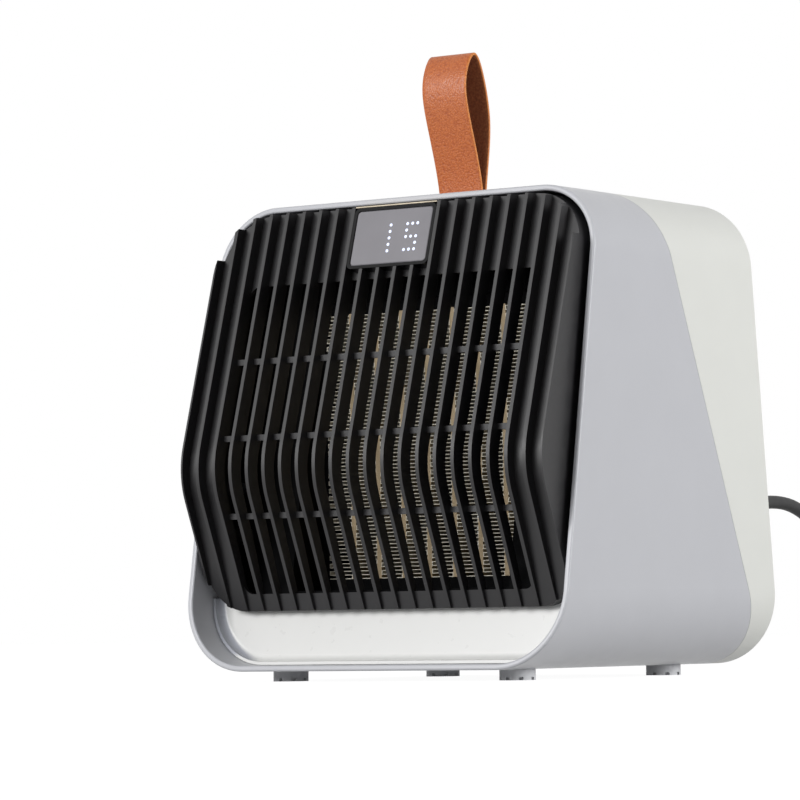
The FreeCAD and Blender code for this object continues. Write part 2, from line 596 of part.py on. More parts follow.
def grille_cover():
    outer = prism("head_outer", "y", f"-{REACH}/2", REACH, [head_outline(0)])
    floor = head_zone("head_floor_zone", "flute_depth", "flute_foot", "knee_radius - flute_depth")
    block = common("head_block", outer, floor)
    inner = prism("head_inner", "y", f"-{REACH}/2", REACH, [head_outline("grille_wall")])
    behind = profile("flute_depth + floor_thick", "flute_foot + floor_thick",
                     "knee_radius - flute_depth - floor_thick")
    hollow_zone = prism("head_hollow_zone", "x", f"-{REACH}/2", REACH,
                        [behind + [(f"{at_panel(UNDER)} + 1", UNDER), (f"{at_panel(OVER)} + 1", OVER)]])
    hollow = common("head_hollow", inner, hollow_zone)
    half = f"(window_flutes/2*{RIB_PITCH} - rib_thick/2)"
    window = prism("head_window", "y", f"-{REACH}/2", REACH,
                   [rounded(f"-{half}", half, "window_bottom", "window_top", "window_corner")])
    shell = cut("head_shell", block, hollow, window)
    ribs = doc.addObject("PartDesign::Body", "ribs")
    back = profile("rib_depth", "rib_foot", "knee_radius - rib_depth")
    rib = add_pad(ribs, "x", f"-(rib_count + 1)/2*{RIB_PITCH} - rib_thick/2", "rib_thick",
                  [profile("0", "0", "knee_radius") + back[::-1]])
    add_pattern(ribs, rib, "x", f"(rib_count + 1)*{RIB_PITCH}", "rib_count + 2")
    seat = lean_on_facet(prism("display_seat", "y", -30, f"30 + {DEPTH}",
                               [rectangle("-display_width/2 - fit/2", "display_width/2 + fit/2", "-fit", 80)]))
    clipped = cut("ribs_clipped", common("ribs_common", ribs, outer), seat)
    bars = []
    bar_half = f"(window_flutes/2*{RIB_PITCH})"
    for i in range(1, 4):
        z = f"(window_bottom + (window_top - window_bottom)*{i}/4)"
        front = crest(z) if i > 1 else crest_below(z)
        bars.append(box(f"cross_bar_{i}", f"-{bar_half}", f"{front} + bar_setback", f"{z} - bar_height/2",
                        f"2*{bar_half}", "bar_depth", "bar_height"))
    bosses = []
    for i, (x, y, z) in enumerate(boss_spots):
        front = crest(z) if z == "boss_high" else crest_below(z)
        bosses.append(cylinder(f"boss_rod_{i}", "boss_radius", REACH, x, f"{front} + flute_depth + 1", z,
                               turn=TOWARDS_REAR))
    boss_zone = slab("boss_zone", shifted(at_panel, -60), at_panel)
    rods = common("head_bosses", fuse("boss_rods", *bosses), boss_zone)
    whole = fuse("head_whole", shell, clipped, rods, *bars)
    pilots = drills("boss_pilots", boss_spots, "screw_shank + screw_fit", "screw_length + 1", 5,
                    FROM_PANEL_REAR)
    node(cut("head_drilled", whole, pilots), "grille_cover")


def dots():
    """The lit dots of the number, counted in columns and rows from the middle of the lens."""
    stroke = -0.4
    left, centre, right = 2.9, 3.9, 4.9
    one = [(stroke, row) for row in range(-2, 3)]
    five = [(column, row) for row in (-2, 0, 2) for column in (left, centre, right)] + [(left, 1), (right, -1)]
    middle = "display_length/2 - 1"
    return [(f"{column}*dot_pitch_x", f"{middle} + {row}*dot_pitch_z") for column, row in one + five]


def display():
    half = "display_width/2"
    frame = prism("display_frame_body", "y", 0, DEPTH,
                  [rounded(f"-{half}", half, 0, "display_length", "display_round")])
    lens_hole = rounded(f"-{half} + lens_border", f"{half} - lens_border", "lens_border",
                        "display_length - lens_border", "display_round - lens_border/2")
    add_pocket(frame, "y", 0, "lens_recess + lens_thick + guide_thick", [lens_hole])
    node(lean_on_facet(frame), "display_frame")
    gap = "(lens_border + fit/2)"
    lens_edge = rounded(f"-{half} + {gap}", f"{half} - {gap}", gap, f"display_length - {gap}",
                        "display_round - lens_border/2 - fit/2")
    lens = prism("display_lens_body", "y", "lens_recess", "lens_thick", [lens_edge])
    add_pocket(lens, "y", "lens_recess", "lens_thick", circles=[(x, z, "dot_radius + 0.05") for x, z in dots()])
    doc.recompute()
    bevelled = doc.addObject("Part::Chamfer", "display_lens_bevelled")
    bevelled.Base = lens
    front_edges = [i for i, edge in enumerate(lens.Shape.Edges, start=1)
                   if edge.BoundBox.YMax < value("lens_recess") + 0.01 and not edge.isClosed()]
    bevelled.Edges = [(i, value("lens_bevel"), value("lens_bevel")) for i in front_edges]
    node(lean_on_facet(bevelled), "display_lens")
    guide = prism("display_guide_body", "y", "lens_recess + lens_thick", "guide_thick", [lens_edge])
    add_pad(guide, "y", "lens_recess - 0.05", "lens_thick + 0.05",
            circles=[(x, z, "dot_radius") for x, z in dots()])
    node(lean_on_facet(guide), "display_light_guide")
    rest = "((head_top - display_bottom)/cos(upper_lean) - display_length - fit)"
    trim = prism("display_trim_body", "y", 0, DEPTH, [rectangle(f"-{half}", half, "display_length + fit",
                                                               f"display_length + fit + {rest} + 5")])
    trimmed = common("display_trim_cut", lean_on_facet(trim), prism("trim_zone", "y", f"-{REACH}/2", REACH,
                                                                   [head_outline(0)]))
    node(trimmed, "display_trim")
    seat = "((flute_depth + floor_thick)*cos(upper_lean))"
    board = prism("display_board_body", "y", seat, "board_thick", [rectangle(f"-{half} + 2", f"{half} - 2", 2,
                                                                            "display_length - 8")])
    node(lean_on_facet(board), "display_board")


# Panel under the grille and the duct frame above it
def lower_panel():
    outline = [shell_outline("shell_wall + fit")]
    skin = prism("panel_outer", "y", f"-{REACH}/2", REACH, outline)
    inner = prism("panel_inner", "y", f"-{REACH}/2", REACH, [shell_outline("shell_wall + fit + panel_rim")])
    body = common("panel_block", skin, slab("panel_zone", shifted(at_panel, "-panel_flange"),
                                            shifted(at_panel, "panel_thick"), LOW, "panel_top"))
    hollow = common("panel_hollow", inner, slab("panel_hollow_zone", shifted(at_panel, "-panel_flange - 5"),
                                                at_panel, LOW, HIGH))
    tray = cut("panel_tray", body, hollow)
    doc.recompute()
    fillet = doc.addObject("Part::Fillet", "panel_filleted")
    fillet.Base = tray
    inset = value("shell_wall + fit + panel_rim")
    edges = []
    for i, edge in enumerate(tray.Shape.Edges, start=1):
        middle = edge.valueAt((edge.FirstParameter + edge.LastParameter) / 2)
        on_panel = abs(middle.y - value(at_panel(repr(middle.z)))) < 0.01
        if on_panel and middle.z < value("panel_top") - 0.1 and edge.Length > inset:
            edges.append((i, value("panel_fillet"), value("panel_fillet")))
    fillet.Edges = edges
    node(fillet, "lower_panel")


def duct_outline(inset):
    return rectangle(f"-duct_width/2 + {inset}", f"duct_width/2 - ({inset})", f"duct_bottom + {inset}",
                     f"duct_top - ({inset})")


fan_spots = [(f"{s}(duct_width/2 - 2)", "duct_rear + plate_thick", z) for s in ("-", "")
             for z in ("(duct_bottom + 2)", "(duct_top - 2)")]


def duct_frame():
    plate = common("duct_plate", sleeve("duct_plate_outer", "shell_wall + fit"),
                   slab("duct_plate_zone", at_panel, shifted(at_panel, "panel_thick"), "panel_top + fit", HIGH))
    tube = common("duct_tube", prism("duct_outer", "y", f"-{REACH}/2", REACH, [duct_outline("-duct_wall")]),
                  slab("duct_zone", at_panel, lambda z: "duct_rear"))
    bosses = [cylinder(f"duct_boss_{i}", "duct_boss", "screw_length + 6", x, "duct_rear - screw_length - 6", z,
                       turn=TOWARDS_REAR) for i, (x, y, z) in enumerate(fan_spots)]
    bore = prism("duct_bore", "y", f"-{REACH}/2", REACH, [duct_outline(0)])
    hollow = cut("duct_hollow", fuse("duct_solid", plate, tube), bore)
    tabs = box("duct_tab_gap", "-column_pitch - 4", "ptc_front + ptc_depth/2 - tab_width",
               "duct_bottom - duct_wall - 1", "2*column_pitch + 8", "2*tab_width", "duct_wall + 2")
    holes = [drills("duct_holes", boss_spots, "screw_shank + 0.3", 5, 5, FROM_PANEL_REAR),
             drills("lug_holes", lug_spots, "screw_shank + 0.3", 5, 5, FROM_PANEL_FRONT),
             drills("fan_pilots", fan_spots, "screw_shank + screw_fit", "screw_length + 1", 5, TOWARDS_REAR)]
    node(cut("duct_drilled", fuse("duct_whole", hollow, *bosses), tabs, *holes), "duct_frame")


# Heating element
def ptc():
    frame = prism("ptc_frame_body", "y", "ptc_front", "ptc_depth",
                  [duct_outline("fit"), rectangle("-column_count/2*column_pitch", "column_count/2*column_pitch",
                                                  "fin_bottom", "fin_top")])
    tabs_at = [f"{i}*column_pitch" for i in (-1, 0, 1)]
    middle = "(ptc_front + ptc_depth/2)"
    slots = [box(f"tab_slot_{i}", f"{x} - tab_thick/2 - fit", f"{middle} - tab_width/2 - fit",
                 "duct_bottom - 1", "tab_thick + 2*fit", "tab_width + 2*fit", "fin_bottom - duct_bottom + 2")
             for i, x in enumerate(tabs_at)]
    node(cut("ptc_frame_cut", frame, *slots), "ptc_frame")
    count = int(value("column_count"))
    bars = [box(f"ptc_bar_{i}", f"({i} - column_count/2)*column_pitch - ptc_bar_width/2", "ptc_front",
                "fin_bottom", "ptc_bar_width", "ptc_depth", "fin_top - fin_bottom") for i in range(1, count)]
    node(group("ptc_bar_group", *bars), "ptc_bars")
    tabs = [box(f"ptc_tab_{i}", f"{x} - tab_thick/2", f"{middle} - tab_width/2", "fin_bottom - tab_length",
                "tab_thick", "tab_width", "tab_length") for i, x in enumerate(tabs_at)]
    node(group("ptc_tab_group", *tabs), "ptc_terminals")
    strips = []
    for column in range(count):
        left = value(f"({column} - column_count/2)*column_pitch + {0 if column == 0 else 'ptc_bar_width/2'}")
        right = value(f"({column} + 1 - column_count/2)*column_pitch"
                      f" - {0 if column == count - 1 else 'ptc_bar_width/2'}")
        strip = doc.addObject("Part::Feature", f"ptc_fin_{column + 1}")
        strip.Shape = fin_strip(left, right)
        strips.append(strip)
    node(group("ptc_fin_group", *strips), "ptc_fins")
    node(box("thermal_cutout_box", -7, "ptc_front + ptc_depth", "fin_top + 0.6", 14, 6, 4.4), "thermal_cutout")


def fin_strip(left, right):
    """A corrugated strip that runs across between two bars and folds back on itself up the column."""
    thick = value("fin_thick")
    pitch = value("fin_pitch")
    bottom = value("fin_bottom")
    runs = int((value("fin_top") - bottom - thick) / pitch)
    under = [(left, bottom)]
    over = [(left, bottom + thick)]
    for run in range(runs):
        low = bottom + run * pitch
        high = low + pitch
        if run % 2 == 0:
            under += [(right, low), (right, high + thick)]
            over += [(right - thick, low + thick), (right - thick, high)]
        else:
            under += [(left + thick, low + thick), (left + thick, high)]
            over += [(left, low), (left, high + thick)]
    last = bottom + runs * pitch
    if runs % 2 == 0:
        under.append((right, last))
        over.append((right, last + thick))
    else:
        under.append((left, last + thick))
        over.append((left, last))
    points = [Vector(x, value("ptc_front"), z) for x, z in under + over[::-1]]
    return Part.Face(Part.makePolygon(points + points[:1])).extrude(Vector(0, value("ptc_depth"), 0))


# Fan
FAN_Z = "((duct_bottom + duct_top)/2)"
MOUNT_Y = "(duct_rear + ring_length)"
motor_spots = [(f"{s}(motor_radius - 6)", f"{MOUNT_Y} - arm_depth", FAN_Z) for s in ("-", "")]


def fan():
    opening = "(fan_radius + fan_clearance)"
    plate = prism("fan_plate", "y", "duct_rear", "plate_thick", [duct_outline("-duct_wall")],
                  [(0, FAN_Z, opening)])
    ring = prism("fan_ring", "y", "duct_rear", "ring_length",
                 circles=[(0, FAN_Z, opening), (0, FAN_Z, f"{opening} + ring_wall")])
    long = f"(2*{opening} + ring_wall)"
    arm_y = f"{MOUNT_Y} - arm_depth"
    arms = [box("fan_arm_x", f"-{long}/2", arm_y, f"{FAN_Z} - arm_width/2", long, "arm_depth", "arm_width"),
            box("fan_arm_z", "-arm_width/2", arm_y, f"{FAN_Z} - {long}/2", "arm_width", "arm_depth", long)]
    disc = cylinder("fan_disc", "motor_radius + 1", "arm_depth", 0, arm_y, FAN_Z, turn=TOWARDS_REAR)
    bore = cylinder("fan_bore", "motor_boss + 0.3", "3*arm_depth", 0, f"{MOUNT_Y} - 2*arm_depth", FAN_Z,
                    turn=TOWARDS_REAR)
    node(cut("fan_housing_cut", fuse("fan_housing_raw", plate, ring, disc, *arms), bore,
             drills("fan_holes", fan_spots, "screw_shank + 0.3", 5, 5, TOWARDS_REAR),
             drills("motor_holes", motor_spots, "screw_shank + 0.3", 5, 5, TOWARDS_FRONT)), "fan_housing")
    end = "(ring_length + motor_length)"
    motor = revolve("fan_motor_body", [("bush_radius", "ring_length - arm_depth"),
                                       ("motor_boss", "ring_length - arm_depth"), ("motor_boss", "ring_length"),
                                       ("motor_radius", "ring_length"), ("motor_radius", end, 2),
                                       ("bush_radius", end)])
    place(motor, 0, "duct_rear", FAN_Z)
    node(cut("fan_motor_cut", motor, drills("motor_pilots", motor_spots, "screw_shank + screw_fit",
                                            "screw_length + 1", 5, TOWARDS_FRONT)), "fan_motor")
    bushes = []
    for i, y in enumerate(("ring_length - arm_depth", f"{end} - 6")):
        ring = revolve(f"bush_{i}", [("shaft_radius + shaft_clearance", y), ("bush_radius - 0.05", y),
                                     ("bush_radius - 0.05", f"{y} + 6"),
                                     ("shaft_radius + shaft_clearance", f"{y} + 6")])
        bushes.append(place(ring, 0, "duct_rear", FAN_Z))
    node(group("bush_group", *bushes), "motor_bushes")
    node(cylinder("shaft", "shaft_radius", f"{end} + 1.5 - hub_start - 2", 0, "duct_rear + hub_start + 2",
                  FAN_Z, turn=TOWARDS_REAR), "motor_shaft")
    impeller = revolve("fan_impeller_body", [("0", "hub_start"), ("hub_radius", "hub_start", 4),
                                             ("hub_radius", "hub_start + hub_length"),
                                             ("shaft_radius + 0.05", "hub_start + hub_length"),
                                             ("shaft_radius + 0.05", "hub_start + 2"), ("0", "hub_start + 2")])
    middle = "(hub_start + hub_length/2)"
    across = "(blade_chord/2*cos(blade_pitch))"
    along = "(blade_chord/2*sin(blade_pitch))"
    rise, run = "blade_thick*sin(blade_pitch)", "blade_thick*cos(blade_pitch)"
    blade = add_pad(impeller, "z", "hub_radius - 4", "fan_radius - hub_radius + 4",
                    [[(f"-{across}", f"{middle} - {along}"),
                      (f"-{across} + {rise}", f"{middle} - {along} - {run}"),
                      (f"{across} + {rise}", f"{middle} + {along} - {run}"),
                      (across, f"{middle} + {along}")]])
    add_ring_pattern(impeller, blade, "y", "blade_count")
    node(place(impeller, 0, "duct_rear", FAN_Z), "fan_impeller")
    screws("motor_screws", motor_spots, TOWARDS_FRONT)
    screws("fan_screws", fan_spots, TOWARDS_REAR)


# Leather strap: a flat band folded into a loop, its two tails clamped under the top of the shell
STRAP_BENDS = [(-1.6, 6.6, 30), (-18, 61.6, 22), (-6.8, 83.6, 5), (6.3, 42.1, 40), (1.2, 4.6, 30)]


def strap():
    bends = [Vector(dy, dz, 0) for dy, dz, radius in STRAP_BENDS]
    seam = at_seam("shell_top")
    outer = [(STRAP_FRONT, "strap_tail")]
    columns = [STRAP_FRONT] + [f"{seam} + {dy}" for dy, dz, radius in STRAP_BENDS[1:-1]] + [STRAP_BACK]
    outer += [(column, f"shell_top + {dz}", radius) for column, (dy, dz, radius) in zip(columns, STRAP_BENDS)]
    outer.append((STRAP_BACK, "strap_tail"))
    sides = [(bends[i], (bends[i + 1] - bends[i]).normalize()) for i in range(4)]
    inner = []
    for i, radius in enumerate((0, 22, 5, 40)):
        (p, d), (q, e) = sides[i - 1], sides[i]
        along = ((q - p).cross(e).z) / d.cross(e).z
        crossing = p + d * along
        left, right = Vector(d.y, -d.x, 0), Vector(e.y, -e.x, 0)
        shift = (left + right) * (1 / (1 + left.dot(right)))
        size = f"{radius} - strap_thick" if i else "0.4"
        inner.append((f"{seam} + {crossing.x} + {shift.x}*strap_thick",
                      f"shell_top + {crossing.y} + {shift.y}*strap_thick", size))
    loop = prism("strap_body", "x", "-strap_width/2", "strap_width", [outer, inner])
    holes = drills("strap_holes", strap_spots, "screw_shank + 0.2", 10, 5, TOWARDS_REAR)
    node(cut("strap_drilled", loop, holes), "handle_strap")
    clamp = box("clamp_bar", "-clamp_half", STRAP_BACK, "strap_tail", "2*clamp_half", "clamp_thick",
                "clamp_top - strap_tail")
    clamp_holes = drills("clamp_holes", strap_spots, "screw_shank + 0.2", 10, 5, TOWARDS_REAR)
    node(cut("clamp_drilled", clamp, clamp_holes), "strap_clamp")
    screws("strap_screws", strap_spots, TOWARDS_REAR)


# Buttons on the top and their board
def buttons():
    flange_top = "(ceiling - fit)"
    knob_top = f"({BUTTON_BOARD_Z} + board_thick + switch_height + knob_height)"
    stem_low = f"({knob_top} + button_travel + fit)"
    for label, x in BUTTONS.items():
        cap = cylinder(f"{label}_cap", "button_radius",
                       f"shell_top + button_proud - {flange_top} + button_flange", 0, 0, 0)
        flange = cylinder(f"{label}_flange", "button_radius + 1.5", "button_flange", 0, 0, 0)
        stem = cylinder(f"{label}_stem", "button_stem", f"{flange_top} - button_flange - {stem_low} + 1", 0, 0,
                        f"{stem_low} - {flange_top} + button_flange")
        whole = fuse(f"{label}_raw", cap, flange, stem)
        doc.recompute()
        crown = doc.addObject("Part::Fillet", f"{label}_round")
        crown.Base = whole
        rim = [(i, 0.6, 0.6) for i, edge in enumerate(whole.Shape.Edges, start=1)
               if edge.BoundBox.ZMin > whole.Shape.BoundBox.ZMax - 0.01]
        crown.Edges = rim
        node(place(crown, x, "button_row", f"{flange_top} - button_flange"), label)
    plate = box("button_board_plate", "-button_post - 6", "button_row - 7", BUTTON_BOARD_Z,
                "2*button_post + 12", 14, "board_thick")
    holes = drills("button_board_holes", button_post_spots, "screw_shank + 0.2", 5, 5, 0)
    node(cut("button_board_cut", plate, holes), "button_board")
    switches = []
    for label, x in BUTTONS.items():
        base = f"({BUTTON_BOARD_Z} + board_thick)"
        body = box(f"{label}_switch_body", f"{x} - switch_size/2", "button_row - switch_size/2", base,
                   "switch_size", "switch_size", "switch_height")
        knob = cylinder(f"{label}_knob", 1.7, "knob_height + 0.5", x, "button_row",
                        f"{base} + switch_height - 0.5")
        switches.append(fuse(f"{label}_switch", body, knob))
    node(group("button_switch_group", *switches), "button_switches")
    screws("button_screws", button_post_spots, DOWN, length="screw_length - 2")


# Control board and what stands on it
BOARD_TOP = f"({BOARD_Z} + board_thick)"
TAB_Y = "(ptc_front + ptc_depth/2)"
BLOCK_HEIGHT = 12
# Components as (x, y, lift, length, width, height) on the board
RELAYS = [(-52, -14, 0, 19, 16, 16), (-28, -14, 0, 19, 16, 16)]
CAPACITOR = (22, -12, 0, 26, 12, 20)
TRANSFORMER = [(-20, 10, 0, 30, 12, 22), (-14, 5, 4, 18, 22, 14)]
TIP_SWITCH = (-54, 14, 0, 14, 14, 16)
MAINS_SOCKET = (28, 14, 0, 20, 14, 12)
MOTOR_SOCKET = (-5, 36, 0, 10, 8, 8)


def on_board(name, x, y, lift, length, width, height):
    return box(name, x, y, f"{BOARD_TOP} + {lift}", length, width, height)


def electronics():
    plate = box("control_plate", "-board_width/2", "board_front", BOARD_Z, "board_width",
                "board_rear - board_front", "board_thick")
    node(cut("control_cut", plate, drills("control_holes", board_spots, "screw_shank + 0.2", 5, 5, 0)),
         "control_board")
    screws("board_screws", board_spots, 0, length="board_lift + board_thick - 1")
    node(box("terminal_box", "-column_pitch - 8", f"{TAB_Y} - 7", BOARD_TOP, "2*column_pitch + 16", 14,
             BLOCK_HEIGHT), "terminal_block")
    lead_low = f"({BOARD_TOP} + {BLOCK_HEIGHT})"
    leads = [cylinder(f"heater_lead_{i}", "lead_radius", f"fin_bottom - tab_length - {lead_low}",
                      f"{i}*column_pitch", TAB_Y, lead_low) for i in (-1, 0, 1)]
    node(group("heater_lead_group", *leads), "heater_leads")
    relays = [on_board(f"relay_{i}", *size) for i, size in enumerate(RELAYS)]
    node(group("relay_group", *relays), "control_relays")
    node(on_board("capacitor_box", *CAPACITOR), "film_capacitor")
    core_and_coil = [on_board(f"transformer_{i}", *size) for i, size in enumerate(TRANSFORMER)]
    node(fuse("transformer_whole", *core_and_coil), "transformer")
    node(on_board("tip_cell", *TIP_SWITCH), "tip_over_switch")
    node(on_board("mains_box", *MAINS_SOCKET), "mains_connector")
    socket = on_board("motor_socket", *MOTOR_SOCKET)
    wire_y = MOTOR_SOCKET[1] + MOTOR_SOCKET[4] / 2
    wire_low = f"({BOARD_TOP} + {MOTOR_SOCKET[5]})"
    wire = cylinder("motor_wire", "lead_radius", f"{FAN_Z} - motor_radius - {wire_low}", 0, wire_y, wire_low)
    node(fuse("motor_lead_whole", socket, wire), "motor_lead")


# Feet
def feet():
    for label, (x, y) in FEET.items():
        body = prism(f"foot_{label}_body", "z", 0, "foot_height", circles=[(0, 0, "foot_radius")])
        add_pocket(body, "z", 0, "foot_seat", circles=[(0, 0, "foot_well")])
        add_pocket(body, "z", 0, "foot_height", circles=[(0, 0, "screw_shank + 0.2")])
        notch = add_pocket(body, "z", 0, "foot_notch_depth",
                           [rectangle("foot_radius - 2.6", "foot_radius + 1", "-foot_notch/2", "foot_notch/2")])
        add_ring_pattern(body, notch, "z", 8)
        node(place(body, x, y, 0), f"foot_{label}")
    screws("foot_screws", foot_spots, DOWN)


# Mains switch in the rear wall, built flat with y pointing out of the wall
PIVOT_Y = f"({at_rear('rocker_z')} - rocker_pivot*cos(rear_lean))"
PIVOT_Z = "(rocker_z - rocker_pivot*sin(rear_lean))"


def mains_switch():
    half, tall = "(rocker_width/2)", "(rocker_height/2)"
    body = prism("switch_body", "y", 0, "rocker_bezel", [rounded(f"-{half}", half, f"-{tall}", tall, 1)])
    add_pad(body, "y", "-rocker_depth", "rocker_depth",
            [rectangle(f"-{half} + rocker_wall", f"{half} - rocker_wall", f"-{tall} + rocker_wall",
                       f"{tall} - rocker_wall")])
    inner_x = f"({half} - 2.3)"
    inner_z = f"({tall} - 1.9)"
    add_pocket(body, "y", -10, "10 + rocker_bezel", [rectangle(f"-{inner_x}", inner_x, f"-{inner_z}", inner_z)])
    add_pocket(body, "x", "-rocker_width", "2*rocker_width", circles=[("-rocker_pivot", 0, 1.3)])
    node(place(body, "rocker_x", at_rear("rocker_z"), "rocker_z", turn="rear_lean"), "switch_housing")
    tip = f"({inner_z} - 1)"
    wide = f"({inner_x} - rocker_gap)"
    key = prism("rocker_body", "x", f"-{wide}", f"2*{wide}",
                [[("rocker_pivot + 2.2", tip), ("rocker_pivot + 1.2", 0), ("rocker_pivot + 2.2", f"-{tip}"),
                  ("rocker_pivot - 1.5", f"-{tip}"), ("rocker_pivot - 4", 0), ("rocker_pivot - 1.5", tip)]])
    add_pad(key, "x", f"-{inner_x} - 0.9", f"2*({inner_x} + 0.9)", circles=[(0, 0, 1.2)])
    node(place(key, "rocker_x", PIVOT_Y, PIVOT_Z, turn="rear_lean - rocker_throw/2"), "power_rocker")
    tabs = prism("switch_tabs", "y", "-rocker_depth - 7", 7,
                 [rectangle(-2.4, 2.4, f"{z} - 0.4", f"{z} + 0.4") for z in (-6, 0, 6)])
    node(place(tabs, "rocker_x", at_rear("rocker_z"), "rocker_z", turn="rear_lean"), "switch_terminals")


# Mains cord
def strain_relief():
    corners = [("0", "-gland_back"), ("gland_collar + 0.5", "-gland_back"),
               ("gland_collar + 0.5", "-shell_wall - 0.05"), ("gland_root", "-shell_wall - 0.05"),
               ("gland_root", 0.05), ("gland_collar", 0.05),
               ("gland_collar", 3), ("gland_root", 3)]
    step = "((gland_length - 5)/gland_ribs)"
    slope = "((gland_root - gland_tip)/(gland_length - 3))"
    for i in range(int(value("gland_ribs"))):
        start = f"(3 + {i + 1}*{step})"
        radius = f"(gland_root - ({start} - 3)*{slope})"
        corners += [(f"{radius} + 0.1*{step}*{slope}", f"{start} - 0.45*{step}"),
                    (f"{radius} - 0.8", f"{start} - 0.45*{step}"), (f"{radius} - 0.8", start), (radius, start)]
    corners += [("gland_tip", "gland_length"), ("0", "gland_length")]
    gland = revolve("gland_body", corners)
    node(place(gland, "gland_x", at_rear("gland_z"), "gland_z", turn="rear_lean"), "cord_strain_relief")


def arc_path(points):
    """Straight runs joined by tangent arcs, as edges, with the arc radii."""
    edges, radii = [], []
    here = points[0]
    for before, corner, after in zip(points, points[1:], points[2:]):
        back = before - corner
        ahead = after - corner
        reach = 0.45 * min(back.Length, ahead.Length)
        half_turn = (math.pi - back.getAngle(ahead)) / 2
        radii.append(reach / math.tan(half_turn))
        start = corner + back.normalize() * reach
        end = corner + ahead.normalize() * reach
        bisector = (back + ahead).normalize()
        middle = corner + bisector * (radii[-1] * (1 / math.cos(half_turn) - 1))
        edges.append(Part.makeLine(here, start))
        edges.append(Part.Arc(start, middle, end).toShape())
        here = end
    edges.append(Part.makeLine(here, points[-1]))
    return edges, radii


def swept(edges, radius):
    """One unbroken round tube along the edges."""
    path = Part.Wire(edges)
    first = edges[0]
    start = first.valueAt(first.FirstParameter)
    direction = first.tangentAt(first.FirstParameter)
    ring = Part.Wire(Part.makeCircle(radius, start, direction))
    shell = Part.BRepOffsetAPI.MakePipeShell(path)
    shell.add(ring)
    shell.build()
    shell.makeSolid()
    return shell.shape()


def tube(label, edges, radius):
    piece = doc.addObject("Part::Feature", label + "_tube")
    shape = swept(edges, radius)
    piece.Shape = shape
    length = sum(edge.Length for edge in edges)
    ratio = shape.Volume / (math.pi * radius ** 2 * length)
    print(f"{label}: length {length:.1f} mm, volume over section times length {ratio:.4f}")
    return node(piece, label)


# The cord falls from the strain relief to the table, then lies in a tied two-layer coil.
# Steps are (x, y) from the strain relief's tip and a height over the table.
CORD_STEPS = [(0, 20.6, 91.9), (2, 46.6, 85.5), (8.5, 65.6, 66.5), (17.5, 79.1, 43), (27, 89, 24),
              (38, 102, 10), (47.4, 118.4, 4.6)]
COIL_STEP = (10, 157.6, 4.6)
COIL_START = -20
COIL_RADIUS = 48.5
COIL_PITCH = 8.9
COIL_RISE = 8.2
TURNS_IN = 5
TURNS_OUT = 4
LAST_ARC = 110
PLUG_RUN = 33
PLUG_LENGTH = 32
PLUG_SLEEVE = 10
PLUG_HALF_WIDTH = 18
PLUG_HALF_HEIGHT = 12.5
PLUG_ROUND = 8
PIN_LENGTH = 19
PIN_OFFSET = 9.5
PIN_RADIUS = 2.4
TIE_THICK = 0.8
TIE_WIDTH = 12


def coil_edges(centre, lead_in):
    """Half turns inwards, half a turn that climbs, half turns outwards and a last arc."""
    angle = math.radians(COIL_START)
    axis = Vector(math.cos(angle), math.sin(angle), 0)
    heading = Vector(-axis.y, axis.x, 0)
    up = Vector(0, 0, 1)
    edges = []
    reach = COIL_RADIUS
    side = 1
    here = centre + axis * reach
    edges.append(Part.makeLine(here - heading * lead_in, here))
    for turn in range(TURNS_IN + 1 + TURNS_OUT):
        climbs = turn == TURNS_IN
        change = 0 if climbs else (-COIL_PITCH / 2 if turn < TURNS_IN else COIL_PITCH / 2)
        next_reach = reach + change
        there = centre - axis * side * next_reach + up * (COIL_RISE if turn >= TURNS_IN else 0)
        radius = (there - here).Length / 2
        far = (here + there) * 0.5 + heading * side * radius
        if climbs:
            edges += quarter_turns(here, heading * side, far, there)
        else:
            edges.append(Part.Arc(here, far, there).toShape())
        here = there
        reach = next_reach
        side = -side
    radius = reach + COIL_PITCH / 4
    middle = here - axis * side * radius
    swing = math.radians(LAST_ARC)

    def on_arc(part):
        return middle + axis * side * radius * math.cos(part) + heading * side * radius * math.sin(part)

    end = on_arc(swing)
    edges.append(Part.Arc(here, on_arc(swing / 2), end).toShape())
    onwards = heading * side * math.cos(swing) - axis * side * math.sin(swing)
    edges.append(Part.makeLine(end, end + onwards * PLUG_RUN))
    return edges, end + onwards * PLUG_RUN, onwards


def arc_middle(start, heading, end):
    """The middle of the arc that leaves the start along a heading and passes through the end."""
    chord = end - start
    across = (chord - heading * chord.dot(heading)).normalize()
    radius = chord.Length ** 2 / (2 * chord.dot(across))
    hub = start + across * radius
    return hub + ((start - hub) + (end - hub)).normalize() * radius


def quarter_turns(start, heading, middle, end):
    """Two arcs through the middle that leave along the heading and arrive against it."""
    return [Part.Arc(start, arc_middle(start, heading, middle), middle).toShape(),
            Part.Arc(middle, arc_middle(end, heading, middle), end).toShape()]


def least_gap(edges, radius):
    """The least space between turns of a tube, from points along its path."""
    spots = []
    run = 0
    for edge in edges:
        count = max(2, int(edge.Length / 1.5))
        for i in range(count):
            share = i / count
            spot = edge.valueAt(edge.getParameterByLength(share * edge.Length))
            spots.append((run + share * edge.Length, spot))
        run += edge.Length
    gaps = [(p - q).Length for i, (s, p) in enumerate(spots) for t, q in spots[i + 1:] if t - s > 12 * radius]
    return min(gaps) - 2 * radius


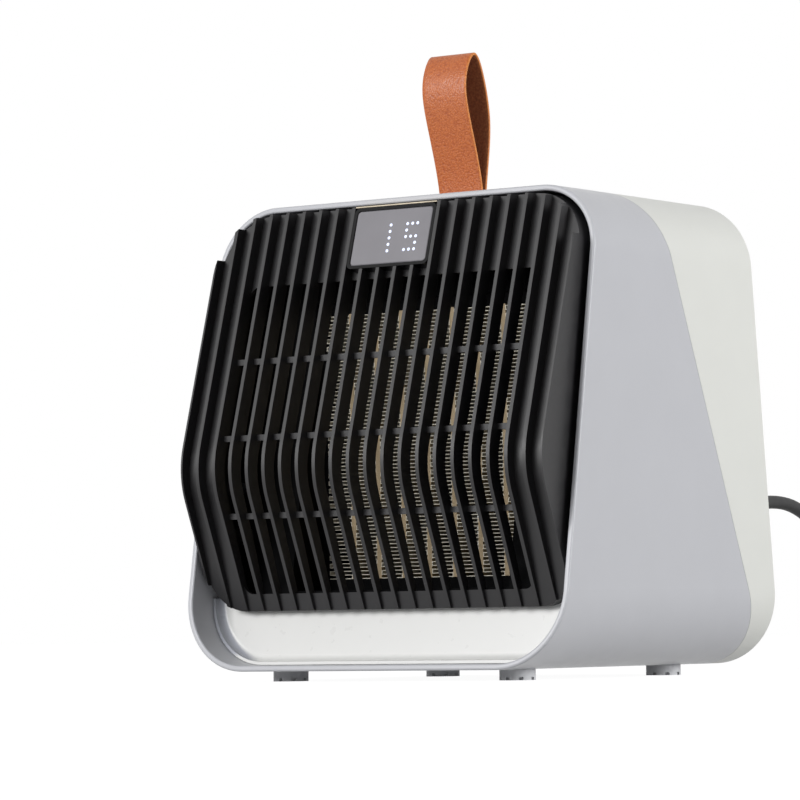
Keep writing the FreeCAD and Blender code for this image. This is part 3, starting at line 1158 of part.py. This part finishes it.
def cord():
    radius = value("cord_radius")
    tip = Vector(value("gland_x"), value(f"{at_rear('gland_z')} + gland_length*cos(rear_lean)"),
                 value("gland_z + gland_length*sin(rear_lean)"))
    route = [tip] + [Vector(tip.x + dx, tip.y + dy, z) for dx, dy, z in CORD_STEPS]
    centre = Vector(tip.x + COIL_STEP[0], tip.y + COIL_STEP[1], COIL_STEP[2])
    coil, plug_at, onwards = coil_edges(centre, 2 * radius)
    route.append(coil[0].valueAt(coil[0].FirstParameter))
    run, radii = arc_path(route)
    print("power_cord: arc radii", [round(r, 1) for r in radii])
    tube("power_cord", run, radius)
    tube("cord_coil", coil, radius)
    print(f"cord_coil: least gap {least_gap(coil, radius):.2f} mm")
    low = COIL_STEP[2] - radius - TIE_THICK
    high = COIL_STEP[2] + COIL_RISE + radius + TIE_THICK
    near = COIL_RADIUS - TURNS_IN * COIL_PITCH / 2 - radius - 2
    far = COIL_RADIUS - COIL_PITCH / 2 + radius + 1.1
    band = prism("tie_band", "y", -TIE_WIDTH / 2, TIE_WIDTH,
                 [rounded(near, far, low, high, 3),
                  rounded(near + TIE_THICK, far - TIE_THICK, low + TIE_THICK, high - TIE_THICK, 3 - TIE_THICK)])
    node(place(band, centre.x, centre.y, 0, (0, 0, 1), COIL_START + 180), "cord_tie")
    body = prism("plug_body", "x", PLUG_SLEEVE, PLUG_LENGTH,
                 [rounded(-PLUG_HALF_WIDTH, PLUG_HALF_WIDTH, -PLUG_HALF_HEIGHT, PLUG_HALF_HEIGHT, PLUG_ROUND)])
    add_pad(body, "x", 0, PLUG_SLEEVE + 1, circles=[(0, 0, 6)])
    heading = math.degrees(math.atan2(onwards.y, onwards.x))
    node(place(body, plug_at.x, plug_at.y, plug_at.z, (0, 0, 1), heading), "power_plug")
    pins = prism("plug_pin_body", "x", PLUG_SLEEVE + PLUG_LENGTH, PIN_LENGTH,
                 circles=[(-PIN_OFFSET, 0, PIN_RADIUS), (PIN_OFFSET, 0, PIN_RADIUS)])
    node(place(pins, plug_at.x, plug_at.y, plug_at.z, (0, 0, 1), heading), "plug_pins")


def mains_lead():
    start = Vector(value("gland_x"), value(f"{at_rear('gland_z')} - gland_back*cos(rear_lean)"),
                   value("gland_z - gland_back*sin(rear_lean)"))
    x, y, lift, length, width, height = MAINS_SOCKET
    end = Vector(x + length, y + width / 2, value(BOARD_TOP) + height / 2)
    points = [start, start + Vector(0, -20, -2.1), start + Vector(-6, -32, -36), end + Vector(28, 9, 6),
              end + Vector(14, 0, 0), end]
    edges, radii = arc_path(points)
    tube("mains_lead", edges, value("lead_radius + 0.5"))


front_shell()
rear_shell()
rear_grille()
grille_cover()
display()
lower_panel()
duct_frame()
ptc()
fan()
strap()
buttons()
electronics()
feet()
mains_switch()
strain_relief()
cord()
mains_lead()
screws("shell_screws", shell_spots, TOWARDS_REAR)
screws("panel_screws", lug_spots, FROM_PANEL_FRONT)
screws("grille_screws", boss_spots, FROM_PANEL_REAR)
doc.recompute()

for piece in doc.Objects:
    troubled = [flag for flag in piece.State if flag in ("Invalid", "Error")]
    if troubled:
        raise RuntimeError(f"{piece.Name} is {troubled}")
for piece in nodes:
    if piece.Shape.isNull() or not piece.Shape.isValid():
        raise RuntimeError(f"{piece.Label} has no valid shape")

os.makedirs("parts", exist_ok=True)
for piece in nodes:
    piece.Shape.exportStep(f"parts/{piece.Label}.step")
print(len(nodes), "nodes written")
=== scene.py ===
import math

import bpy
from mathutils import Matrix, Vector


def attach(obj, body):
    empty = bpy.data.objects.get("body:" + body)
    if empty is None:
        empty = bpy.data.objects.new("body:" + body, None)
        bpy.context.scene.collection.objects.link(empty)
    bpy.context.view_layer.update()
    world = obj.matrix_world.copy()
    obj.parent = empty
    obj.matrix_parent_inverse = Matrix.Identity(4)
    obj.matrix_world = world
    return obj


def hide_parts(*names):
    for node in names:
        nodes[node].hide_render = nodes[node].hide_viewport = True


# A desktop fan heater. X is to its right seen from the front, Y to the back, Z up, in metres.
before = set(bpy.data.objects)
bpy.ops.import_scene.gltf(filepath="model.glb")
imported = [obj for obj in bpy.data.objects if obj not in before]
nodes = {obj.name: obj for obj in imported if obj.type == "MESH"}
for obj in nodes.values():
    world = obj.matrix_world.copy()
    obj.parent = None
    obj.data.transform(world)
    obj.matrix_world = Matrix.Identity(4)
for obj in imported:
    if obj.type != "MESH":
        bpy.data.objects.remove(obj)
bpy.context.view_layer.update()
scene = bpy.context.scene
scene.view_settings.view_transform = "Standard"

MM = 0.001


# Camera, with its angles in radians and its sensor in millimetres
IMAGE_PIXELS = 800
FOCAL_PIXELS = 4126.9
SENSOR_WIDTH = 36
FAR_CLIP = 20
EYE = Vector((1.1991, -1.7715, 0.0283))
YAW = 0.6137
PITCH = 0.0543
ROLL = -0.0144


def add_camera():
    forward = Vector((-math.sin(YAW) * math.cos(PITCH), math.cos(YAW) * math.cos(PITCH), math.sin(PITCH)))
    level = Vector((math.cos(YAW), math.sin(YAW), 0))
    upright = level.cross(forward)
    right = math.cos(ROLL) * level + math.sin(ROLL) * upright
    up = math.cos(ROLL) * upright - math.sin(ROLL) * level
    data = bpy.data.cameras.new("camera")
    data.sensor_width = SENSOR_WIDTH
    data.lens = FOCAL_PIXELS * SENSOR_WIDTH / IMAGE_PIXELS
    data.clip_end = FAR_CLIP
    camera = bpy.data.objects.new("camera", data)
    camera.matrix_world = Matrix.Translation(EYE) @ Matrix((right, up, -forward)).transposed().to_4x4()
    scene.collection.objects.link(camera)
    scene.camera = camera


# Shader tools. Noise seldom leaves the range from NOISE_LOW to NOISE_HIGH.
NOISE_LOW = 0.3
NOISE_HIGH = 0.7
EVEN = (1, 1, 1)


def srgb(red, green, blue):
    """A colour of the screen, 0 to 255, as the linear colour that a shader takes."""
    parts = [c / 255 for c in (red, green, blue)]
    return tuple(c / 12.92 if c <= 0.04045 else ((c + 0.055) / 1.055) ** 2.4 for c in parts) + (1,)


def darker(colour, share):
    return tuple(c * (1 - share) for c in colour[:3]) + (1,)


def maths(tree, operation, *factors):
    """A math node on the outputs of other nodes and on plain numbers."""
    node = tree.nodes.new("ShaderNodeMath")
    node.operation = operation
    for factor, target in zip(factors, node.inputs):
        if isinstance(factor, float):
            target.default_value = factor
        else:
            tree.links.new(factor, target)
    return node.outputs[0]


class Paint:
    """A Principled material whose colour, roughness and bump follow patterns in the object's metres."""

    def __init__(self, name, roughness, **sockets):
        self.material = bpy.data.materials.new(name)
        self.material.use_nodes = True
        self.tree = self.material.node_tree
        self.shader = self.tree.nodes["Principled BSDF"]
        self.shader.inputs["Roughness"].default_value = roughness
        for socket, setting in sockets.items():
            self.shader.inputs[socket.replace("_", " ")].default_value = setting
        self.place = self.tree.nodes.new("ShaderNodeTexCoord").outputs["Object"]

    def join(self, source, target):
        self.tree.links.new(source, target)

    def noise(self, size, detail=3, stretch=EVEN):
        """Noise whose lumps are about the given size."""
        mapping = self.tree.nodes.new("ShaderNodeMapping")
        mapping.inputs["Scale"].default_value = stretch
        self.join(self.place, mapping.inputs["Vector"])
        node = self.tree.nodes.new("ShaderNodeTexNoise")
        node.inputs["Scale"].default_value = 1 / size
        node.inputs["Detail"].default_value = detail
        self.join(mapping.outputs["Vector"], node.inputs["Vector"])
        return node.outputs["Fac"]

    def pebbles(self, size):
        """0 at the middle of each rounded cell, more towards its border."""
        node = self.tree.nodes.new("ShaderNodeTexVoronoi")
        node.feature = "SMOOTH_F1"
        node.inputs["Scale"].default_value = 1 / size
        self.join(self.place, node.inputs["Vector"])
        return node.outputs["Distance"]

    def reach(self, direction):
        """How far a place lies along a direction."""
        node = self.tree.nodes.new("ShaderNodeVectorMath")
        node.operation = "DOT_PRODUCT"
        node.inputs[1].default_value = direction
        self.join(self.place, node.inputs[0])
        return node.outputs["Value"]

    def part(self, vector, axis):
        node = self.tree.nodes.new("ShaderNodeSeparateXYZ")
        self.join(vector, node.inputs["Vector"])
        return node.outputs[axis]

    def graded(self, factor, start, end):
        """0 at the start of a stretch of the factor, 1 at its end and beyond."""
        node = self.tree.nodes.new("ShaderNodeMapRange")
        node.inputs["From Min"].default_value = start
        node.inputs["From Max"].default_value = end
        self.join(factor, node.inputs["Value"])
        return node.outputs["Result"]

    def ramp(self, factor, low, high, start=NOISE_LOW, end=NOISE_HIGH):
        """One colour up to the start of a stretch of the factor, another from its end."""
        node = self.tree.nodes.new("ShaderNodeValToRGB")
        for element, where, colour in zip(node.color_ramp.elements, (start, end), (low, high)):
            element.position = where
            element.color = colour
        self.join(factor, node.inputs["Fac"])
        return node.outputs["Color"]

    def colour(self, factor, low, high, start=NOISE_LOW, end=NOISE_HIGH):
        self.join(self.ramp(factor, low, high, start, end), self.shader.inputs["Base Color"])

    def vary_roughness(self, factor, low, high):
        grays = [(level, level, level, 1) for level in (low, high)]
        self.join(self.ramp(factor, *grays), self.shader.inputs["Roughness"])

    def bump(self, height, depth, strength=1.0):
        """Relief over the relief that the shader has already."""
        node = self.tree.nodes.new("ShaderNodeBump")
        node.inputs["Strength"].default_value = strength
        node.inputs["Distance"].default_value = depth
        self.join(height, node.inputs["Height"])
        used = self.shader.inputs["Normal"].links
        if used:
            self.join(used[0].from_socket, node.inputs["Normal"])
        self.join(node.outputs["Normal"], self.shader.inputs["Normal"])


# Plastics
COLOUR_DRIFT = 30 * MM
GLOSS_WAVE = 6 * MM
GLOSSIEST = 0.9
DULLEST = 1.12
FINE_GRAIN = 0.5 * MM
GRAIN_DEPTH = 0.02 * MM
SMOOTH = 0


def moulded(name, colour, roughness, tint, grain=FINE_GRAIN, depth=GRAIN_DEPTH, **sockets):
    """Injection-moulded plastic: a fine grain, slow waves in the gloss and a faint drift of colour."""
    paint = Paint(name, roughness, **sockets)
    base = srgb(*colour)
    paint.colour(paint.noise(COLOUR_DRIFT), darker(base, tint), base)
    paint.vary_roughness(paint.noise(GLOSS_WAVE), roughness * GLOSSIEST, roughness * DULLEST)
    if depth:
        paint.bump(paint.noise(grain), depth)
    return paint.material


def cord_rubber():
    return moulded("cord_rubber", (20, 20, 21), 0.55, tint=0.12, depth=0.05 * MM)


def lit_dots():
    paint = Paint("lit_dots", 0.4, Emission_Strength=0.6)
    tone = srgb(222, 230, 255)
    paint.shader.inputs["Emission Color"].default_value = tone
    paint.colour(paint.noise(2 * MM), darker(tone, 0.03), tone)
    return paint.material


# Lower panel: its lean, the depths where its flange's front edge ends, the heights over which painted shade
# comes in on that edge
PANEL_LEAN = math.radians(9.79)
FRONT_EDGE = 0.2 * MM
BEHIND_EDGE = 0.8 * MM
SHADE_START = 3 * MM
SHADE_END = 14 * MM


def panel_plastic():
    """White plate with painted shade on its flange where it faces left or right, and on its front edge."""
    paint = Paint("panel_plastic", 0.3)
    spots = [vertex.co for vertex in nodes["lower_panel"].data.vertices]
    inwards = Vector((0, math.cos(PANEL_LEAN), -math.sin(PANEL_LEAN)))
    front = min(inwards.dot(spot) for spot in spots)
    low = min(spot.z for spot in spots)
    on_edge = paint.graded(paint.reach(inwards), front + BEHIND_EDGE, front + FRONT_EDGE)
    raised = paint.graded(paint.part(paint.place, "Z"), low + SHADE_START, low + SHADE_END)
    facing = paint.tree.nodes.new("ShaderNodeNewGeometry").outputs["Normal"]
    sideways = maths(paint.tree, "ABSOLUTE", paint.part(facing, "X"))
    painted_shade = maths(paint.tree, "MAXIMUM", sideways, maths(paint.tree, "MULTIPLY", on_edge, raised))
    # The darker bluish colour is painted shade, on the flange's sideways faces and on its front edge above
    # its lowest millimetres.
    paint.colour(painted_shade, srgb(223, 223, 221), srgb(170, 173, 181), start=0.1, end=0.3)
    paint.vary_roughness(paint.noise(GLOSS_WAVE), 0.27, 0.34)
    return paint.material


# Metals
STREAK = 0.6 * MM
STREAK_DETAIL = 4
STREAK_TINT = 0.2
STREAK_DEPTH = 0.01 * MM
SHINIEST = 0.8
DIMMEST = 1.25
BRUSHED_ALONG_X = (0.05, 1, 1)
DRAWN_ALONG_X = (0.1, 1, 1)
DRAWN_ALONG_Y = (1, 0.1, 1)


def sheet_metal(name, colour, roughness, stretch=EVEN, metallic=1.0):
    """Bare metal with drawn streaks, or a dull oxide over it where it is less than all metallic."""
    paint = Paint(name, roughness, Metallic=metallic)
    base = srgb(*colour)
    streaks = paint.noise(STREAK, STREAK_DETAIL, stretch)
    paint.colour(streaks, darker(base, STREAK_TINT), base)
    paint.vary_roughness(streaks, roughness * SHINIEST, roughness * DIMMEST)
    paint.bump(streaks, STREAK_DEPTH)
    return paint.material


# Leather
def leather():
    """Tan leather with a pebbled grain, paler where the grain stands up."""
    paint = Paint("tan_leather", 0.42)
    grain = paint.pebbles(0.9 * MM)
    paint.colour(grain, srgb(202, 112, 56), srgb(170, 84, 38), start=0.15, end=0.75)
    paint.vary_roughness(paint.noise(4 * MM), 0.36, 0.48)
    paint.bump(grain, depth=-0.22 * MM)
    paint.bump(paint.noise(0.35 * MM), depth=0.05 * MM, strength=0.7)
    return paint.material


def cut_edge():
    paint = Paint("leather_edge", 0.5)
    paint.colour(paint.noise(1.5 * MM, detail=4), srgb(196, 108, 40), srgb(224, 142, 66))
    paint.bump(paint.noise(0.4 * MM), depth=0.05 * MM)
    return paint.material


def suede():
    paint = Paint("suede_lining", 0.95, Sheen_Weight=0.2)
    paint.colour(paint.noise(1.2 * MM, detail=5), srgb(140, 80, 46), srgb(184, 114, 70))
    paint.bump(paint.noise(0.3 * MM, detail=5), depth=0.12 * MM)
    return paint.material


# Dressing of the nodes
def dress(material, *names):
    for name in names:
        slots = nodes[name].data.materials
        slots.clear()
        slots.append(material)


def dress_shell():
    dress(moulded("gray_shell_plastic", (194, 195, 200), 0.32, tint=0.02, depth=SMOOTH), "front_shell")
    dress(moulded("white_shell_plastic", (226, 227, 222), 0.38, tint=0.02, depth=SMOOTH),
          "rear_shell", "rear_grille")
    dress(panel_plastic(), "lower_panel")
    dress(moulded("button_plastic", (205, 206, 208), 0.35, tint=0.03, grain=0.6 * MM, depth=0.01 * MM),
          "minus_button", "power_button", "plus_button")
    feet = [name for name in nodes if name.startswith("foot_") and name != "foot_screws"]
    dress(moulded("foot_rubber", (232, 233, 236), 0.6, tint=0.08, grain=0.4 * MM, depth=0.03 * MM), *feet)
    screws = [name for name in nodes if name.endswith("_screws")]
    dress(sheet_metal("zinc_screws", (165, 165, 168), 0.35), *screws)


def dress_head():
    dress(moulded("black_plastic", (23, 22, 24), 0.43, tint=0.08), "grille_cover", "strap_clamp")
    # The smoked lens is glossy black; its pale colour is a painted reflection of the bright surroundings.
    dress(moulded("smoked_lens_painted_reflection", (142, 140, 145), 0.16, tint=0.12, depth=SMOOTH), "display_lens")
    dress(lit_dots(), "display_light_guide")
    dress(sheet_metal("champagne_trim", (178, 168, 150), 0.32, BRUSHED_ALONG_X), "display_trim")
    dress(moulded("gloss_black", (10, 10, 12), 0.12, tint=0.05, depth=SMOOTH, Specular_IOR_Level=0.3),
          "display_frame", "power_rocker")


def dress_heater():
    # Black plastic, darkened nearly to zero so that it also stands for the deep shade behind the grille:
    # partly its own colour, partly painted shade.
    dress(moulded("duct_black_and_shade", (6, 6, 7), 0.7, tint=0.08, Specular_IOR_Level=0.05),
          "duct_frame", "ptc_frame", "fan_housing")
    dress(sheet_metal("fin_aluminium", (228, 222, 206), 0.45, DRAWN_ALONG_Y, metallic=0.3), "ptc_fins")
    dress(sheet_metal("bar_film", (170, 150, 118), 0.42, metallic=0.3), "ptc_bars")
    dress(sheet_metal("brass", (205, 170, 95), 0.3), "ptc_terminals", "switch_terminals", "motor_bushes")
    dress(sheet_metal("drawn_steel", (170, 170, 174), 0.32, DRAWN_ALONG_Y),
          "fan_motor", "motor_shaft", "thermal_cutout")
    dress(moulded("fan_plastic", (70, 70, 74), 0.5, tint=0.06, depth=0.03 * MM), "fan_impeller")


def dress_electrics():
    dress(moulded("switch_black", (24, 24, 26), 0.4, tint=0.05, grain=0.6 * MM), "switch_housing")
    dress(moulded("circuit_board", (32, 92, 58), 0.4, tint=0.2, grain=0.4 * MM),
          "display_board", "control_board", "button_board")
    dress(moulded("red_insulation", (150, 40, 34), 0.45, tint=0.1), "heater_leads", "motor_lead")
    dress(moulded("gray_insulation", (60, 60, 62), 0.5, tint=0.1), "mains_lead")
    dress(moulded("component_plastic", (44, 44, 48), 0.45, tint=0.1),
          "terminal_block", "tip_over_switch", "mains_connector", "button_switches", "transformer")
    dress(moulded("relay_blue", (40, 70, 130), 0.4, tint=0.08), "control_relays")
    dress(moulded("capacitor_yellow", (200, 160, 50), 0.4, tint=0.08), "film_capacitor")


def dress_cord(rubber):
    dress(rubber, "cord_strain_relief", "power_plug")
    dress(moulded("tie_plastic", (24, 24, 25), 0.5, tint=0.1, grain=0.4 * MM, depth=0.05 * MM), "cord_tie")
    dress(sheet_metal("nickel_pins", (200, 198, 192), 0.22, DRAWN_ALONG_X), "plug_pins")


# Cord, on the route of its solids. Steps are millimetres from its exit in x and y, and over the table in z.
CORD_EXIT = Vector((92, 129.418, 89.704)) * MM
CORD_DIAMETER = 7 * MM
CORD_STEPS = [(0, 20.6, 91.9), (2, 46.6, 85.5), (8.5, 65.6, 66.5), (17.5, 79.1, 43), (27, 89, 24),
              (38, 102, 10), (47.4, 118.4, 4.6)]
CORD_ORDER = 3
CORD_FINENESS = 6
CORD_ROUNDNESS = 6

# Its coil, whose half turns start along the axis, and its run to the plug, which bends over a share of it
COIL_STEP = (10, 157.6, 4.6)
COIL_START = math.radians(-20)
COIL_AXIS = Vector((math.cos(COIL_START), math.sin(COIL_START), 0))
COIL_HEADING = Vector((-COIL_AXIS.y, COIL_AXIS.x, 0))
COIL_RADIUS = 48.5 * MM
COIL_PITCH = 8.9 * MM
COIL_RISE = 8.2 * MM
HALF_TURNS_IN = 5
HALF_TURNS_OUT = 4
SWING_STEP = math.radians(15)
LAST_ARC = math.radians(110)
PLUG_RUN = 33 * MM
PLUG_BEND = 0.3


def nurbs(name, points, order, fineness):
    """Curve data of one NURBS spline that starts and ends on its outer points."""
    data = bpy.data.curves.new(name, "CURVE")
    data.dimensions = "3D"
    data.resolution_u = fineness
    spline = data.splines.new("NURBS")
    spline.points.add(len(points) - 1)
    for point, spot in zip(spline.points, points):
        point.co = (*spot, 1)
    spline.order_u = order
    spline.use_endpoint_u = True
    return data


def step_point(step):
    return Vector((CORD_EXIT.x + step[0] * MM, CORD_EXIT.y + step[1] * MM, step[2] * MM))


def swung(swing):
    """The direction from an arc's middle after a swing from the coil's axis."""
    return COIL_AXIS * math.cos(swing) + COIL_HEADING * math.sin(swing)


def coil_points():
    """Half turns inwards on the table, one that climbs, half turns outwards on top, the run to the plug."""
    centre = step_point(COIL_STEP)
    points = [centre + COIL_AXIS * COIL_RADIUS - COIL_HEADING * CORD_DIAMETER]
    reach = COIL_RADIUS
    side = 1
    height = 0
    # The curve runs inside its points, so they stand out a little.
    fuller = 2 / (1 + math.cos(SWING_STEP / 2))

    def add_arc(radius, arc, climb=0):
        """Adds the points of an arc and gives its middle."""
        middle = centre + COIL_AXIS * side * (reach - radius)
        for i in range(round(arc / SWING_STEP)):
            swing = (i + 0.5) * SWING_STEP
            rise = climb * (1 - math.cos(swing)) / 2
            points.append(middle + side * fuller * radius * swung(swing) + Vector((0, 0, height + rise)))
        return middle

    for turn in range(-HALF_TURNS_IN, HALF_TURNS_OUT + 1):
        change = math.copysign(COIL_PITCH / 2, turn) if turn else 0
        climb = 0 if turn else COIL_RISE
        add_arc(reach + change / 2, math.pi, climb)
        reach += change
        side = -side
        height += climb
    radius = reach + COIL_PITCH / 4
    middle = add_arc(radius, LAST_ARC)
    end = middle + side * radius * swung(LAST_ARC) + Vector((0, 0, height))
    onwards = side * swung(LAST_ARC + math.pi / 2)
    return points + [end + onwards * PLUG_RUN * PLUG_BEND, end + onwards * PLUG_RUN]


def add_cord(material):
    points = [CORD_EXIT] + [step_point(step) for step in CORD_STEPS] + coil_points()
    data = nurbs("mains_cord", points, CORD_ORDER, CORD_FINENESS)
    data.bevel_depth = CORD_DIAMETER / 2
    data.bevel_resolution = CORD_ROUNDNESS
    data.use_fill_caps = True
    data.materials.append(material)
    cord = bpy.data.objects.new("mains_cord", data)
    scene.collection.objects.link(cord)
    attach(cord, "base")
    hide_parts("power_cord", "cord_coil")


# Leather strap, a band whose middle line is a smooth curve. Its points are millimetres in y and z.
STRAP_LINE = [(-10.46, 224), (-10.46, 236), (-10.46, 247), (-13.2, 260.7), (-19.5, 279.9), (-26.8, 300),
              (-25, 313.7), (-16.2, 326.5), (-8.6, 311), (-4.4, 295.4), (-3.4, 282.6), (-6.2, 264.4),
              (-9.06, 248), (-9.06, 236), (-9.06, 224)]
STRAP_ORDER = 4
STRAP_FINENESS = 8
STRAP_WIDTH = 27 * MM
STRAP_THICK = 1.4 * MM
STRAP_EDGE = 0.35 * MM
STRAP_STRIPS = 12
EDGE_STRIPS = 3
OUTSIDE, CUT_EDGE, LINING = range(3)


def strap_spots():
    """Places along the strap's middle line."""
    points = [Vector((0, y, z)) * MM for y, z in STRAP_LINE]
    curve = bpy.data.objects.new("strap_line", nurbs("strap_line", points, STRAP_ORDER, STRAP_FINENESS))
    line = bpy.data.meshes.new_from_object(curve)
    spots = [vertex.co.copy() for vertex in line.vertices]
    bpy.data.objects.remove(curve)
    bpy.data.meshes.remove(line)
    return spots


def strap_section():
    """The outline of a cut through the band: steps sideways and outwards."""
    half = STRAP_WIDTH / 2
    deep = STRAP_THICK / 2
    flat = [(-half + STRAP_EDGE) * (1 - 2 * i / STRAP_STRIPS) for i in range(STRAP_STRIPS + 1)]
    outline = [(x, deep) for x in flat] + [(half, deep - STRAP_EDGE), (half, STRAP_EDGE - deep)]
    outline += [(x, -deep) for x in reversed(flat)]
    return outline + [(-half, STRAP_EDGE - deep), (-half, deep - STRAP_EDGE)]


def strap_mesh():
    line = strap_spots()
    section = strap_section()
    vertices = []
    for i, spot in enumerate(line):
        ahead = (line[min(i + 1, len(line) - 1)] - line[max(i - 1, 0)]).normalized()
        outwards = Vector((0, -ahead.z, ahead.y))
        vertices += [spot + Vector((x, 0, 0)) + outwards * n for x, n in section]
    count = len(section)
    last = (len(line) - 1) * count
    faces = []
    for start in range(0, last, count):
        for k in range(count):
            a, b = start + k, start + (k + 1) % count
            faces.append((a, b, b + count, a + count))
    faces += [tuple(reversed(range(count))), tuple(range(last, last + count))]
    edge = [CUT_EDGE] * EDGE_STRIPS
    around = [OUTSIDE] * STRAP_STRIPS + edge + [LINING] * STRAP_STRIPS + edge
    kinds = around * (len(line) - 1) + [CUT_EDGE, CUT_EDGE]
    mesh = bpy.data.meshes.new("leather_strap")
    mesh.from_pydata(vertices, [], faces)
    for material in (leather(), cut_edge(), suede()):
        mesh.materials.append(material)
    for polygon, kind in zip(mesh.polygons, kinds):
        polygon.material_index = kind
        polygon.use_smooth = True
    mesh.update()
    return mesh


def add_strap():
    strap = bpy.data.objects.new("leather_strap", strap_mesh())
    scene.collection.objects.link(strap)
    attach(strap, "base")
    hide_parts("handle_strap")


# Stage. The floor glows, and the world is white, only where they are seen directly.
FLOOR_HALF = 4
FLOOR_GRAY = 0.38
FLOOR_ROUGHNESS = 0.9
FLOOR_GLOW = 1.36
GLOW_SHARE = 0.7
AMBIENT = 0.2
BACKDROP = 1.0
LAMP_TARGET = Vector((0, 0, 0.12))
LAMPS = [("key", Vector((-0.6, -1.9, 0.75)), 0.9, 32), ("right", Vector((2.0, 0.3, 0.6)), 1.0, 28)]


def seen_directly(tree):
    """1 for rays from the camera, from gloss and through glass."""
    path = tree.nodes.new("ShaderNodeLightPath").outputs
    camera_or_gloss = maths(tree, "MAXIMUM", path["Is Camera Ray"], path["Is Glossy Ray"])
    return maths(tree, "MAXIMUM", camera_or_gloss, path["Is Transmission Ray"])


def floor_material():
    material = bpy.data.materials.new("floor")
    material.use_nodes = True
    tree = material.node_tree
    shader = tree.nodes["Principled BSDF"]
    shader.inputs["Base Color"].default_value = (FLOOR_GRAY, FLOOR_GRAY, FLOOR_GRAY, 1)
    shader.inputs["Roughness"].default_value = FLOOR_ROUGHNESS
    glow = tree.nodes.new("ShaderNodeEmission")
    glow.inputs["Strength"].default_value = FLOOR_GLOW
    mix = tree.nodes.new("ShaderNodeMixShader")
    tree.links.new(maths(tree, "MULTIPLY", seen_directly(tree), GLOW_SHARE), mix.inputs["Fac"])
    tree.links.new(shader.outputs[0], mix.inputs[1])
    tree.links.new(glow.outputs[0], mix.inputs[2])
    tree.links.new(mix.outputs[0], tree.nodes["Material Output"].inputs["Surface"])
    return material


def add_floor():
    corners = [(-1, -1, 0), (1, -1, 0), (1, 1, 0), (-1, 1, 0)]
    mesh = bpy.data.meshes.new("floor")
    mesh.from_pydata([Vector(corner) * FLOOR_HALF for corner in corners], [], [(0, 1, 2, 3)])
    mesh.materials.append(floor_material())
    floor = bpy.data.objects.new("floor", mesh)
    scene.collection.objects.link(floor)


def add_world():
    world = bpy.data.worlds.new("studio")
    scene.world = world
    world.use_nodes = True
    tree = world.node_tree
    background = tree.nodes["Background"]
    background.inputs["Color"].default_value = (1, 1, 1, 1)
    strength = tree.nodes.new("ShaderNodeMapRange")
    strength.inputs["To Min"].default_value = AMBIENT
    strength.inputs["To Max"].default_value = BACKDROP
    tree.links.new(seen_directly(tree), strength.inputs["Value"])
    tree.links.new(strength.outputs["Result"], background.inputs["Strength"])


def add_lamps():
    for name, spot, size, power in LAMPS:
        data = bpy.data.lights.new(name, "AREA")
        data.size = size
        data.energy = power
        lamp = bpy.data.objects.new(name, data)
        lamp.location = spot
        lamp.rotation_euler = (LAMP_TARGET - spot).to_track_quat("-Z", "Y").to_euler()
        scene.collection.objects.link(lamp)


add_camera()
dress_shell()
dress_head()
dress_heater()
dress_electrics()
rubber = cord_rubber()
dress_cord(rubber)
add_cord(rubber)
add_strap()
add_world()
add_lamps()
add_floor()
